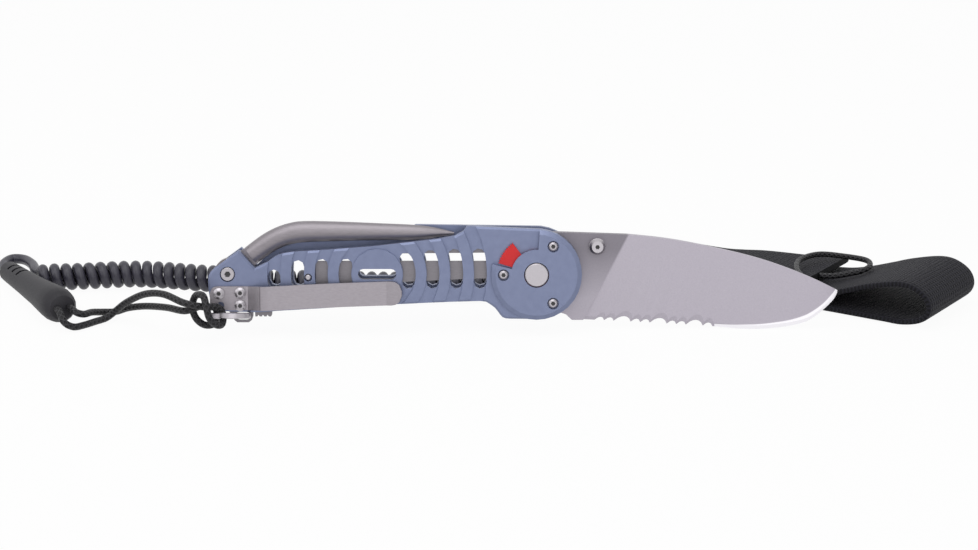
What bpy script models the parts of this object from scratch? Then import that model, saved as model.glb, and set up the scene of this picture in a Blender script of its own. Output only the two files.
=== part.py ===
"""A folding rigging knife: serrated blade, marlin spike, coiled safety lanyard and belt strap.

The knife is drawn round its blade pivot: X runs to the tip, Y away from the front face, Z to the
blade's back. It stands on its open blade, leaning back, with the lanyard laid on the floor behind it.
"""

import math

import bmesh
import bpy
from mathutils import Matrix, Vector

# Sizes are in millimetres and degrees, and MM turns finished meshes into metres.
MM = 0.001
FIT = 0.25  # gap between pieces that touch
FACETS = 20  # sides of a turned piece

# Blade
BLADE_THICK = 4.0
BLADE_REACH = 102.4  # pivot to tip
BLADE_EDGE_THICK = 0.7  # behind the sharpened bevel
BEVEL_WIDTH = 1.3
TANG_RADIUS = 10.0
PLUNGE_TOP = (31.0, 12.9)  # where the grind starts at the back
PLUNGE_FOOT = (16.0, -16.2)  # and at the edge
SERRATION_START = 19.9
SERRATIONS = "ssBssBssBs"  # small and big scallops from the handle out
SMALL_SCALLOP = (3.25, 1.2)  # width and depth
BIG_SCALLOP = (5.8, 1.9)
STUD_PLACE = (20.6, 9.1)
STUD_RADIUS = 2.7
STUD_RISE = 3.6

# Handle
TIP_ROOM = 1.9
PIVOT_SPACING = BLADE_REACH + TIP_ROOM  # blade pivot to spike pivot
WASHER_THICK = 0.5
SLOT_HALF = BLADE_THICK / 2 + 2 * FIT + WASHER_THICK
SCALE_THICK = 3.8
SCALE_FACE = SLOT_HALF + SCALE_THICK
SCALE_BEVEL = 0.7
HEAD_RADIUS = 15.3
BOSS_X = -53.8
BOSS_RADIUS = 8.7
GROOVE_PITCH = 8.0
GROOVE_WIDTH = 4.4
GROOVE_DEPTH = 0.9
GROOVE_COUNT = 4
WINDOW_LENGTH = 13.0
WINDOW_HEIGHT = 3.6
RIGHT_SLOT_TOPS = (7.3, 8.2, 8.6, 8.7)
LEFT_SLOT_TOPS = (5.2, 5.1, 4.7, 1.5)
SLOT_FOOT = -5.0
REAR_SLOT_RISE = 2.0  # the rear scale's slots go higher

# Pivot, cover and safety
PIVOT_RADIUS = 4.0
PIVOT_HEAD_RADIUS = 5.6
PIVOT_HEAD_THICK = 1.1
WASHER_RADIUS = 8.0
STOP_PIN_RADIUS = 1.7
STOP_PIN_PLACE = (-2.6, 11.9)
LEVER_THICK = 0.9
LEVER_RING_RADIUS = 8.4
LEVER_RADIUS = 13.6
LEVER_FROM, LEVER_TO = 127.0, 163.0
TOOTH_DEPTH = 0.55
LEVER_TEETH = 9
COVER_ROOF = 0.9
COVER_CHAMFER = 1.5
NOTCH_FROM, NOTCH_TO = 86.0, 166.0
COVER_SCREW_CIRCLE = 11.15
SCREW_HEAD_RADIUS = 1.75
SCREW_HEAD_RISE = 1.1
SCREW_SHANK_RADIUS = 0.9
SCREW_BITE = 1.4
SOCKET_RADIUS = 0.8

# Lock liner and leaves, let into the front scale's inner face
LINER_THICK = 1.2
LEAF_PLAY = 0.4
LINER_LEFT = -78.4
LINER_BAR = 3.5
LINER_RIGHT = -13.0
LEAF_TOP = 4.2
LEAF_TIP = -10.9
RAIL_FOOT = 5.8
LOWER_RAIL_TOP = -5.1
LEAF_WINDOW = (14.6, 4.4)  # length and height, behind the scale's window
RIVET_PLACE = (-77.1, -1.1)
RIVET_RADIUS = 1.1
SPIKE_LEAF_ROOT = 38.3  # from the spike pivot
SPIKE_LEAF_TIP = 5.7
JIMP_TEETH = 4

# Spike
SPIKE_STATIONS = (
    (7.5, 5.65, 3.4), (12.7, 9.5, 3.44), (17.0, 11.8, 3.53), (21.3, 13.2, 3.6), (26.0, 13.8, 3.6),
    (37.5, 13.9, 3.3), (51.8, 13.75, 2.86), (63.0, 13.5, 2.6), (69.7, 13.45, 1.77), (76.4, 13.2, 0.4),
)  # axis place from the spike pivot, and radius
SPIKE_HUB_RADIUS = 4.8
SPIKE_WASHER_RADIUS = 4.2
AXLE_RADIUS = 2.0
AXLE_HEAD_RADIUS = 2.35
AXLE_HEAD_THICK = 1.2
POST_PLACE = (-2.8, -6.3)  # from the spike pivot
POST_RADIUS = 1.6

# Clip and ring
CLIP_THICK = 1.2
CLIP_WIDTH = 8.1
CLIP_LIFT = 3.4
CLIP_SCREWS = ((-2.8, -6.3), (4.4, -6.1), (4.4, -10.4))  # from the spike pivot
CLIP_SPARE_HOLE = (-2.2, -10.3)
CLIP_SCREW_RADIUS = 1.9
RING_RADIUS = 6.6
RING_WIRE = 0.55
LUG_PLACE = (4.9, -14.5)  # from the spike pivot
LUG_SLOT = (5.3, 2.8)  # width and height
LUG_WALL = 0.8
RING_LUG_ANGLE = 52.0
RING_TILT = 7.5
HITCH_ANGLE = 214.0  # where the lanyard is hitched round the ring

# Stance
LEAN = 10.0
STAND_X = 3.6  # the blade pivot from the middle of the stand
STAND_Z = 19.6  # the blade pivot above the belly of the edge

# Lanyard, in stand places: X to the tip, Y behind the knife, Z above the floor
BRAID_DIAMETER = 2.4
CORD_DIAMETER = 3.3
COIL_DIAMETER = 9.6
COIL_PITCH = 4.1
CURL_POINTS = 8
COIL_AXIS = ((-172.0, 44.0), (-159.7, 44.6), (-137.0, 47.6), (-113.3, 42.5), (-82.6, 36.5), (-30.0, 33.5), (27.0, 33.0))
FERRULE_LENGTH = 58.0
FERRULE_PROFILE = ((0.0, 3.3), (0.3, 3.7), (18.0, 4.3), (34.0, 5.0), (46.0, 5.9), (52.0, 6.1), (55.5, 5.6), (57.4, 4.4), (58.0, 3.2))
FERRULE_SLOTS = 3
KNIFE_FERRULE_FROM, KNIFE_FERRULE_TO = (-185.0, 54.6), (-157.6, 3.0)
STRAP_FERRULE_FROM, STRAP_FERRULE_TO = (35.0, 32.4), (90.0, 17.5)
STRAND_SPREAD = 2.3
LOOP_DIAMETER = 2.0

# Strap
STRAP_WIDTH = 38.0
STRAP_THICK = 2.0
STRAP_CORNER = (129.7, 2.2)
STRAP_TURN = 33.0
STRAP_PATH = (
    (40.0, 8.2), (46.0, 7.3), (54.0, 6.6), (66.0, 5.9), (74.0, 5.3), (82.0, 4.3), (90.0, 3.6), (105.0, 3.5), (109.6, 3.4), (111.2, 2.4),
    (109.6, 1.3), (105.0, 1.2), (80.0, 1.2), (55.0, 1.2), (30.0, 1.2), (10.0, 1.2), (1.5, 1.3), (-5.4, 3.3),
    (-8.0, 7.2), (-6.4, 11.4), (-1.4, 14.2), (4.6, 14.4), (14.3, 12.0), (22.0, 9.3), (30.0, 6.6), (38.0, 4.6),
    (48.0, 3.7), (58.0, 3.5), (70.0, 3.5),
)  # along the strap and above the floor

for old in list(bpy.data.objects):
    bpy.data.objects.remove(old)


def look(name, colour, metallic, roughness):
    """One Principled material."""
    made = bpy.data.materials.new(name)
    made.use_nodes = True
    shader = made.node_tree.nodes["Principled BSDF"]
    shader.inputs["Base Color"].default_value = (*colour, 1.0)
    shader.inputs["Metallic"].default_value = metallic
    shader.inputs["Roughness"].default_value = roughness
    return made


ANODISED = look("anodised", (0.21, 0.26, 0.40), 0.8, 0.4)
BLADE_STEEL = look("blade_steel", (0.48, 0.44, 0.50), 0.9, 0.35)
STEEL = look("steel", (0.42, 0.39, 0.42), 1.0, 0.3)
BRIGHT = look("bright_steel", (0.7, 0.69, 0.7), 1.0, 0.15)
RED = look("red", (0.62, 0.03, 0.03), 0.3, 0.4)
BRONZE = look("bronze", (0.5, 0.33, 0.15), 0.9, 0.35)
BRAID = look("braid", (0.02, 0.02, 0.024), 0.0, 0.7)
COIL = look("coil", (0.045, 0.042, 0.06), 0.0, 0.4)
RUBBER = look("rubber", (0.07, 0.065, 0.09), 0.0, 0.5)
WEBBING = look("webbing", (0.016, 0.016, 0.02), 0.0, 0.9)


def arc(centre, radius, start, end, steps):
    """Points on an arc, ends included; angles in degrees from X towards Z."""
    turns = [math.radians(start + (end - start) * i / steps) for i in range(steps + 1)]
    return [(centre[0] + radius * math.cos(a), centre[1] + radius * math.sin(a)) for a in turns]


def capsule(centre, length, height):
    """A slot outline with round ends, along X."""
    flat = (length - height) / 2
    right = arc((centre[0] + flat, centre[1]), height / 2, -90, 90, 6)
    return right + arc((centre[0] - flat, centre[1]), height / 2, 90, 270, 6)


def smooth(points, steps):
    """A Catmull-Rom curve through the points, with steps between each pair."""
    ends = [points[0], *points, points[-1]]
    made = []
    for a, b, c, d in zip(ends, ends[1:], ends[2:], ends[3:]):
        for i in range(steps):
            t = i / steps
            made.append(tuple(
                0.5 * (2 * q + (r - p) * t + (2 * p - 5 * q + 4 * r - s) * t**2 + (3 * q - p - 3 * r + s) * t**3)
                for p, q, r, s in zip(a, b, c, d)
            ))
    return [*made, tuple(points[-1])]


def spaced(points, step):
    """The same line with points about step apart."""
    line = [Vector(p) for p in points]
    lengths = [(b - a).length for a, b in zip(line, line[1:])]
    count = max(2, round(sum(lengths) / step))
    made = []
    leg, before = 0, 0.0
    for i in range(count + 1):
        along = sum(lengths) * i / count
        while leg < len(lengths) - 1 and before + lengths[leg] < along:
            before += lengths[leg]
            leg += 1
        made.append(line[leg].lerp(line[leg + 1], min(1.0, (along - before) / lengths[leg])))
    return made


def plate(outline, low, high):
    """A prism of an outline in X and Z, from Y low to Y high."""
    bm = bmesh.new()
    face = bm.faces.new([bm.verts.new((x, low, z)) for x, z in outline])
    moved = bmesh.ops.extrude_face_region(bm, geom=[face])["geom"]
    bmesh.ops.translate(bm, vec=(0, high - low, 0), verts=[v for v in moved if isinstance(v, bmesh.types.BMVert)])
    return bm


def turned(profile, sides=FACETS, centre=(0.0, 0.0)):
    """A solid turned round Y at a place in X and Z, from (radius, y) points that start and end on the axis,
    or that run round a ring."""
    bm = bmesh.new()
    rings = []
    for radius, y in profile:
        angles = [2 * math.pi * i / sides for i in range(sides if radius else 1)]
        rings.append([bm.verts.new((centre[0] + radius * math.cos(a), y, centre[1] + radius * math.sin(a))) for a in angles])
    pairs = list(zip(rings, rings[1:]))
    if profile[0][0]:
        pairs.append((rings[-1], rings[0]))
    for a, b in pairs:
        for i in range(sides):
            corners = [a[i % len(a)], a[(i + 1) % len(a)], b[(i + 1) % len(b)], b[i % len(b)]]
            bm.faces.new(list(dict.fromkeys(corners)))
    return bm


def lofted(rings):
    """A skin over rings of equal length, capped at both ends."""
    bm = bmesh.new()
    made = [[bm.verts.new(p) for p in ring] for ring in rings]
    for a, b in zip(made, made[1:]):
        for i in range(len(a)):
            j = (i + 1) % len(a)
            bm.faces.new((a[i], a[j], b[j], b[i]))
    bm.faces.new(made[0])
    bm.faces.new(made[-1])
    return bm


def add(name, bm, skin, parent, place=(0.0, 0.0, 0.0)):
    """Adds a mesh drawn in millimetres as a named object."""
    bmesh.ops.scale(bm, vec=(MM, MM, MM), verts=bm.verts)
    bmesh.ops.recalc_face_normals(bm, faces=bm.faces)
    mesh = bpy.data.meshes.new(name)
    bm.to_mesh(mesh)
    bm.free()
    mesh.shade_smooth()
    mesh.set_sharp_from_angle(angle=math.radians(35))
    mesh.materials.append(skin)
    made = bpy.data.objects.new(name, mesh)
    bpy.context.scene.collection.objects.link(made)
    made.parent = parent
    made.location = Vector(place) * MM
    return made


def combine(body, tool, operation):
    """Cuts a hidden shape out of a body, or joins it on."""
    tool.hide_render = True
    tool.display_type = "WIRE"
    change = body.modifiers.new(tool.name, "BOOLEAN")
    change.operation = operation
    change.object = tool


def cut(body, name, bm):
    """Cuts a shape drawn in the body's own place."""
    tool = add(f"{name}_cutter", bm, STEEL, body.parent, body.location / MM)
    combine(body, tool, "DIFFERENCE")


def stepped(body, name, place, profile, sides=FACETS):
    """Cuts a counterbored hole along Y, from its (radius, y) steps."""
    cut(body, name, turned([(0, profile[0][1]), *profile, (0, profile[-1][1])], sides, place))


def bore(body, name, place, radius, low, high, sides=FACETS):
    """Cuts a round hole along Y."""
    stepped(body, name, place, [(radius, low), (radius, high)], sides)


def empty(name, parent, place, turn=(0.0, 0.0, 0.0)):
    made = bpy.data.objects.new(name, None)
    bpy.context.scene.collection.objects.link(made)
    made.parent = parent
    made.location = Vector(place) * MM
    made.rotation_euler = turn
    return made


STAND = empty("stand", None, (0, 0, 0))
KNIFE_PLACE = Vector((STAND_X, STAND_Z * math.sin(math.radians(LEAN)), STAND_Z * math.cos(math.radians(LEAN))))
KNIFE = empty("knife", STAND, KNIFE_PLACE, (math.radians(-LEAN), 0, 0))
BUTT = -PIVOT_SPACING
LINER_FACE = -SLOT_HALF - FIT / 5
LINER_BACK = LINER_FACE - LINER_THICK
POCKET_FLOOR = LINER_BACK - LEAF_PLAY
COVER_FOOT = -SCALE_FACE - FIT
LEVER_TOP = COVER_FOOT - LEVER_THICK
COVER_TOP = LEVER_TOP - FIT - COVER_ROOF
CLIP_FOOT = -SCALE_FACE - FIT
CLIP_FACE = CLIP_FOOT - CLIP_THICK


def at_butt(place):
    """A place given from the spike pivot."""
    return (BUTT + place[0], place[1])


# Handle


def scale_outline(recessed):
    """The scale's side view. The front one is cut lower round the folded spike's point."""
    head = arc((0, 0), HEAD_RADIUS, -90, 84, 16)
    brow = [(-23.4, 16.3), (-24.6, 14.6), (-27.7, 12.9), (-33.5, 11.9)]
    back = smooth([(BUTT + 48.4, 9.4), (BUTT + 30.5, 8.1), (BUTT + 22.3, 7.6), (BUTT + 17.2, 6.6), (BUTT + 13.6, 4.2)], 3)
    if not recessed:
        brow = [(-41.0, 15.8), (-43.2, 14.6), (-44.6, 12.6)]
        back = smooth([(BUTT + 56.0, 11.7), (BUTT + 30.5, 11.3), (BUTT + 25.0, 11.0), (BUTT + 20.0, 9.9), (BUTT + 16.4, 8.2), (BUTT + 13.0, 5.6)], 2)
    notch = [(BUTT + 9.2, 2.1), (BUTT + 3.8, 8.0)]
    butt = smooth([(BUTT - 4.1, 2.3), (BUTT - 6.4, -0.4), (BUTT - 6.4, -6.0), (BUTT - 5.3, -10.6), (BUTT - 2.6, -12.6)], 3)
    foot = smooth([(BUTT + 9.6, -13.0), (BUTT + 40.9, -11.1), (-32.7, -9.6), (-19.0, -9.2)], 2)
    chin = smooth([(-17.0, -9.4), (-14.0, -11.5), (-11.4, -14.7), (-8.5, -15.2)], 3)
    return [*head, *brow, *back, *notch, *butt, *foot, *chin]


def groove_band(index, angle_from, angle_to, low, high, steps):
    """One groove ring about the boss, as a prism over part of its round."""
    inner = BOSS_RADIUS + GROOVE_PITCH * index
    outer = inner + GROOVE_WIDTH
    centre = (BOSS_X, 0.0)
    ring = arc(centre, outer, angle_from, angle_to, steps) + arc(centre, inner, angle_to, angle_from, steps)
    return plate(ring, low, high)


def slot_outline(index, side, top):
    """A slot that follows its groove from SLOT_FOOT up to top, with round ends."""
    middle = BOSS_RADIUS + GROOVE_PITCH * index + GROOVE_WIDTH / 2
    half = GROOVE_WIDTH / 2 - FIT / 5
    low = math.degrees(math.asin((SLOT_FOOT + half) / middle))
    high = math.degrees(math.asin((top - half) / middle))
    spots = [arc((0, 0), middle, a, a, 1)[0] for a in (low, high)]
    right = arc((0, 0), middle + half, low, high, 4)
    left = arc((0, 0), middle - half, high, low, 4)
    over = arc(spots[1], half, high, high + 180, 4)[1:-1]
    under = arc(spots[0], half, low + 180, low + 360, 4)[1:-1]
    return [(BOSS_X + side * x, z) for x, z in [*right, *over, *left, *under]]


def make_scale(name, side):
    """One handle scale; side is -1 for the front and 1 for the rear."""
    inner, outer = side * SLOT_HALF, side * SCALE_FACE
    bm = plate(scale_outline(side < 0), inner, outer)
    rim = [e for e in bm.edges if all(abs(v.co.y - outer) < 1e-6 for v in e.verts)]
    bmesh.ops.bevel(bm, geom=rim, offset=SCALE_BEVEL, segments=1, affect="EDGES")
    scale = add(name, bm, ANODISED, KNIFE)
    floor = outer - side * GROOVE_DEPTH
    past = outer + side
    low, high = min(floor, past), max(floor, past)
    for index in range(GROOVE_COUNT):
        half = 58 - 7 * index if index else 92
        cut(scale, f"{name}_groove_right_{index}", groove_band(index, -half, half, low, high, 8))
        cut(scale, f"{name}_groove_left_{index}", groove_band(index, 180 - half, 180 + half, low, high, 8))
        ends = (-SCALE_FACE - 1, -SLOT_HALF + 1) if side < 0 else (SLOT_HALF - 1, SCALE_FACE + 1)
        rise = REAR_SLOT_RISE if side > 0 else 0.0
        cut(scale, f"{name}_slot_right_{index}", plate(slot_outline(index, 1, RIGHT_SLOT_TOPS[index] + rise), *ends))
        cut(scale, f"{name}_slot_left_{index}", plate(slot_outline(index, -1, LEFT_SLOT_TOPS[index] + rise), *ends))
    cut(scale, f"{name}_window", plate(capsule((BOSS_X, 0), WINDOW_LENGTH, WINDOW_HEIGHT), *ends))
    bore(scale, f"{name}_pivot", (0, 0), PIVOT_RADIUS + FIT, *ends)
    if side > 0:
        bore(scale, f"{name}_axle", (BUTT, 0), AXLE_RADIUS + FIT, *ends)
    stop = side * (SLOT_HALF + 2)
    bore(scale, f"{name}_stop", STOP_PIN_PLACE, STOP_PIN_RADIUS + FIT, *sorted((stop, inner - side)), 12)
    return scale


def liner_pocket_outline():
    """Room for the blade's lock liner and leaf."""
    return [(LINER_LEFT - FIT, -6.6), (LINER_RIGHT + FIT, -6.6), (LINER_RIGHT + FIT, -3.0), (LEAF_TIP + FIT, -3.0),
            (LEAF_TIP + FIT, LEAF_TOP + FIT), (LINER_RIGHT + FIT, LEAF_TOP + FIT), (LINER_RIGHT + FIT, 9.2),
            (-46.0, 8.4), (LINER_LEFT - FIT, 7.0)]


def butt_pocket_outline():
    """Room for the butt liner and the spike's lock leaf, open at the scale's lower edge."""
    root = BUTT + SPIKE_LEAF_ROOT + FIT
    return [(BUTT - 4.8, 4.6), (BUTT - 5.2, -10.4), (BUTT - 0.6, -12.6), (BUTT + 2.4, -15.0), (BUTT + 15.4, -15.0),
            (BUTT + 15.6, -10.7), (root, -10.7), (root, -6.75), (BUTT + 12.5, -6.0), (BUTT + 9.0, -1.0), (BUTT + 4.8, 4.6)]


def make_front_scale():
    scale = make_scale("front_scale", -1)
    opening = (POCKET_FLOOR, -SLOT_HALF + 1)
    cut(scale, "liner_pocket", plate(liner_pocket_outline(), *opening))
    cut(scale, "butt_pocket", plate(butt_pocket_outline(), *opening))
    bore(scale, "rivet_hole", RIVET_PLACE, RIVET_RADIUS + FIT, -SCALE_FACE - 1, POCKET_FLOOR + 1, 12)
    seat, head, shank = -SCALE_FACE + AXLE_HEAD_THICK + FIT, AXLE_HEAD_RADIUS + FIT, AXLE_RADIUS + FIT
    stepped(scale, "axle_seat", (BUTT, 0), [(head, -SCALE_FACE - 1), (head, seat), (shank, seat), (shank, POCKET_FLOOR + 1)])
    depth = -SCALE_FACE + SCREW_BITE + FIT
    for index, place in enumerate(cover_screw_places()):
        bore(scale, f"cover_screw_hole_{index}", place, SCREW_SHANK_RADIUS + FIT, -SCALE_FACE - 1, depth, 12)
    for index, place in enumerate(CLIP_SCREWS):
        bore(scale, f"clip_screw_hole_{index}", at_butt(place), SCREW_SHANK_RADIUS + FIT, -SCALE_FACE - 1, depth, 12)


def make_liner():
    """The fixed liner: a bar with a rail above and one below the leaf."""
    bar = LINER_LEFT + LINER_BAR
    outline = [(LINER_LEFT, -6.3), (LINER_RIGHT, -6.3), (LINER_RIGHT, LOWER_RAIL_TOP), (bar, LOWER_RAIL_TOP), (bar, RAIL_FOOT),
               (-46.0, RAIL_FOOT + 1.0), (LINER_RIGHT, RAIL_FOOT + 1.3), (LINER_RIGHT, 8.9), (-46.0, 8.1), (LINER_LEFT, 6.8)]
    liner = add("lock_liner", plate(outline, LINER_BACK, LINER_FACE), STEEL, KNIFE)
    bore(liner, "liner_rivet", RIVET_PLACE, RIVET_RADIUS + FIT, LINER_BACK - 1, LINER_FACE + 1, 12)
    head = RIVET_RADIUS * 0.6
    pin = [(0, -SCALE_FACE - 0.1), (head, -SCALE_FACE - 0.1), (RIVET_RADIUS, -SCALE_FACE + 0.3), (RIVET_RADIUS, LINER_FACE), (0, LINER_FACE)]
    add("liner_rivet", turned(pin, 12, RIVET_PLACE), BRIGHT, KNIFE)


def make_lock_leaf():
    """The blade's lock leaf, drawn from its root."""
    root = LINER_LEFT + LINER_BAR + FIT
    outline = [(0, -4.6), (-46.0 - root, -2.9), (-20.0 - root, -1.7), (LEAF_TIP - root, -1.9), (LEAF_TIP - root, 2.6),
               (-14.0 - root, LEAF_TOP), (0, LEAF_TOP)]
    leaf = add("lock_leaf", plate(outline, -LINER_THICK / 2, LINER_THICK / 2), STEEL, KNIFE, (root, LINER_FACE - LINER_THICK / 2, 0))
    cut(leaf, "leaf_window", plate(capsule((BOSS_X - root, 0.4), *LEAF_WINDOW), -LINER_THICK, LINER_THICK))


def make_butt_liner():
    """The liner at the butt. Its tab carries the ring below the scale."""
    x, z = LUG_PLACE
    half, deep = LUG_SLOT[0] / 2 + LUG_WALL, LUG_SLOT[1] / 2 + LUG_WALL
    left, right = BUTT + x - half, BUTT + x + half
    tab = [(left, z), (left + 0.5, z - deep + 0.8), (left + 1.5, z - deep), (right - 1.5, z - deep), (right - 0.5, z - deep + 0.8), (right, z)]
    outline = [*arc((BUTT, 0), 4.3, 0, 180, 8), (BUTT - 4.6, -9.9), (BUTT - 0.4, -12.2), *tab, (right, -12.4), (BUTT + 4.6, -8.5)]
    liner = add("butt_liner", plate(outline, LINER_BACK, LINER_FACE), STEEL, KNIFE)
    bore(liner, "liner_axle", (BUTT, 0), AXLE_RADIUS + FIT, LINER_BACK - 1, LINER_FACE + 1)
    cut(liner, "liner_lug", plate(capsule((BUTT + x, z), *LUG_SLOT), LINER_BACK - 1, LINER_FACE + 1))


def make_spike_leaf():
    """The spike's lock leaf with its jimped thumb edge, drawn from its root."""
    root = BUTT + SPIKE_LEAF_ROOT
    left, right, foot = BUTT + 8.8 - root, BUTT + 15.0 - root, -14.7
    step = (right - left) / JIMP_TEETH
    teeth = [(left + step * (i + share), foot + rise) for i in range(JIMP_TEETH) for share, rise in ((0.15, 0), (0.6, 0), (0.8, 0.6))]
    tip = BUTT + SPIKE_LEAF_TIP - root
    outline = [(0, -7.0), (0, -10.4), (right, -10.4), *reversed(teeth), (left, -9.8), (tip + 0.6, -6.8), (tip, -1.6), (tip + 2.2, -1.6),
               (left + 3.6, -6.4)]
    place = (root, LINER_FACE - LINER_THICK / 2, 0)
    add("spike_lock_leaf", plate(outline, -LINER_THICK / 2, LINER_THICK / 2), STEEL, KNIFE, place)


# Blade


def tang_outline():
    """The full-thickness part of the blade, back to the pivot."""
    pin_side = STOP_PIN_PLACE[0] + STOP_PIN_RADIUS + FIT
    kick = STOP_PIN_PLACE[0] + 2 * STOP_PIN_RADIUS + FIT + 1.6
    round_tang = arc((0, 0), TANG_RADIUS, 94, 286, 16)
    ricasso = [(kick, -12.8), (8.4, -13.7), (10.1, -14.3), (12.1, -16.2), PLUNGE_FOOT]
    return [PLUNGE_TOP, (8.0, 13.7), (pin_side, 13.9), *round_tang, *ricasso]


def scallops():
    """Serration marks along the edge: (x, depth there)."""
    marks = []
    x = SERRATION_START
    for kind in SERRATIONS:
        width, depth = SMALL_SCALLOP if kind == "s" else BIG_SCALLOP
        steps = 4 if kind == "s" else 6
        marks += [(x + width * i / steps, depth * math.sin(math.pi * i / steps) ** 0.7) for i in range(steps)]
        x += width
    return [*marks, (x, 0.0)]


def on_line(points, x):
    """The height at x of a line through points that run along X."""
    for (x0, z0), (x1, z1) in zip(points, points[1:]):
        if x0 <= x <= x1:
            return z0 + (z1 - z0) * (x - x0) / (x1 - x0)
    return points[-1][1]


def ground_sections():
    """Sections of the ground part, from the plunge line to the tip."""
    tip = BLADE_REACH
    back = smooth([PLUNGE_TOP, (44.0, 11.5), (57.7, 9.0), (tip - 29.0, 5.3), (tip - 17.3, 1.5), (tip - 7.5, -2.5), (tip, -6.2)], 6)
    marks = scallops()
    heel = marks[-1][0]
    edge = smooth([(heel, -18.6), (tip - 31.6, -19.5), (tip - 22.5, -19.3), (tip - 12.7, -17.7), (tip - 7.5, -15.3), (tip - 1.8, -10.1), (tip + 0.1, -6.9)], 4)
    straight = [PLUNGE_FOOT, (SERRATION_START, -16.4), (heel, -18.6)]
    run = [(PLUNGE_FOOT[0], 0.0), *marks] + [(x, 0.0) for x, _ in edge[1:-1]] + [(tip, 0.0)]
    sections = []
    for x, depth in run:
        share = (x - PLUNGE_FOOT[0]) / (tip - PLUNGE_FOOT[0])
        back_x = PLUNGE_TOP[0] + (tip - PLUNGE_TOP[0]) * share
        top = Vector((back_x, on_line(back, back_x)))
        foot = Vector((x, on_line(straight, x) if x <= heel else on_line(edge, x)))
        half = BLADE_THICK / 2 * (1 - 0.62 * (PLUNGE_TOP[1] - top.y) / (PLUNGE_TOP[1] + 6.2))
        long = max((top - foot).length, 0.5)
        bevel = min(BEVEL_WIDTH + 1.4 * depth, 0.6 * long) / long
        thin = min(BLADE_EDGE_THICK / 2 + 0.03 * depth, 0.8 * half)
        raised = foot.lerp(top, min(depth / long, 0.4))
        crest = foot.lerp(top, min(bevel, 0.9))
        sections.append([(top.x, half, top.y), (top.x, -half, top.y), (crest.x, -thin, crest.y),
                         (raised.x, 0.0, raised.y), (crest.x, thin, crest.y)])
    return sections


def make_blade():
    half = BLADE_THICK / 2
    blade = add("blade", plate(tang_outline(), -half, half), BLADE_STEEL, KNIFE)
    ground = add("blade_grind", lofted(ground_sections()), BLADE_STEEL, KNIFE)
    combine(blade, ground, "UNION")
    bore(blade, "blade_pivot", (0, 0), PIVOT_RADIUS + FIT, -half - 1, half + 1)
    bore(blade, "blade_stud", STUD_PLACE, SCREW_SHANK_RADIUS + FIT, -half - 1, half + 1, 12)


def make_studs():
    """The thumb stud: a head with a shank through the blade, and a nut head behind."""
    half = BLADE_THICK / 2 + FIT
    face = STUD_RADIUS * 0.72
    front = [(0, -half - STUD_RISE), (face, -half - STUD_RISE), (STUD_RADIUS, -half - STUD_RISE * 0.55), (STUD_RADIUS * 0.8, -half - 0.5),
             (STUD_RADIUS, -half - 0.4), (STUD_RADIUS, -half), (SCREW_SHANK_RADIUS, -half), (SCREW_SHANK_RADIUS, half - FIT), (0, half - FIT)]
    stud = add("thumb_stud_front", turned(front, 18, STUD_PLACE), BRIGHT, KNIFE)
    cut(stud, "stud_socket", turned([(0, -half - STUD_RISE - 1), (SOCKET_RADIUS, -half - STUD_RISE - 1), (SOCKET_RADIUS, -half - STUD_RISE + 1.2), (0, -half - STUD_RISE + 1.2)], 6, STUD_PLACE))
    rear = [(0, half), (STUD_RADIUS, half), (STUD_RADIUS, half + 0.4), (STUD_RADIUS * 0.8, half + 0.5),
            (STUD_RADIUS, half + STUD_RISE * 0.55), (face, half + STUD_RISE), (0, half + STUD_RISE)]
    add("thumb_stud_rear", turned(rear, 18, STUD_PLACE), BRIGHT, KNIFE)


# Pivot and safety


def cover_screw_places():
    return [arc((0, 0), COVER_SCREW_CIRCLE, a, a, 1)[0] for a in (60, 180, 300)]


def make_pivot():
    """Pivot pin, washers and stop pin."""
    rear = SCALE_FACE + FIT
    end = COVER_TOP - 0.2
    pin = [(0, end), (PIVOT_RADIUS - 0.3, end), (PIVOT_RADIUS, end + 0.3), (PIVOT_RADIUS, rear), (PIVOT_HEAD_RADIUS, rear),
           (PIVOT_HEAD_RADIUS, rear + PIVOT_HEAD_THICK - 0.3), (PIVOT_HEAD_RADIUS - 0.4, rear + PIVOT_HEAD_THICK), (0, rear + PIVOT_HEAD_THICK)]
    add("pivot_pin", turned(pin), BRIGHT, KNIFE)
    make_washers("blade_washer", (0, 0), PIVOT_RADIUS + FIT, WASHER_RADIUS)
    reach = SLOT_HALF + 2 - FIT
    stop = [(0, -reach), (STOP_PIN_RADIUS, -reach), (STOP_PIN_RADIUS, reach), (0, reach)]
    add("stop_pin", turned(stop, 12, STOP_PIN_PLACE), STEEL, KNIFE)


def make_washers(name, place, inner, outer):
    """A washer in front of a tang and one behind it."""
    near = BLADE_THICK / 2 + FIT
    far = near + WASHER_THICK
    for side, low, high in (("front", -far, -near), ("rear", near, far)):
        ring = [(inner, low), (outer, low), (outer, high), (inner, high)]
        add(f"{name}_{side}", turned(ring, FACETS, place), BRONZE, KNIFE)


def make_lever():
    """The red safety lever: a ring about the pivot with a toothed finger pad."""
    pad = []
    for i in range(LEVER_TEETH * 2 + 1):
        angle = LEVER_FROM + (LEVER_TO - LEVER_FROM) * i / (LEVER_TEETH * 2)
        pad += arc((0, 0), LEVER_RADIUS - (TOOTH_DEPTH if i % 2 else 0.0), angle, angle, 1)[:1]
    ring = arc((0, 0), LEVER_RING_RADIUS, LEVER_TO, LEVER_FROM + 360, 20)
    lever = add("safety_lever", plate([*pad, *ring], LEVER_TOP, COVER_FOOT), RED, KNIFE)
    bore(lever, "lever_pivot", (0, 0), PIVOT_RADIUS + FIT, LEVER_TOP - 1, COVER_FOOT + 1)


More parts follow.
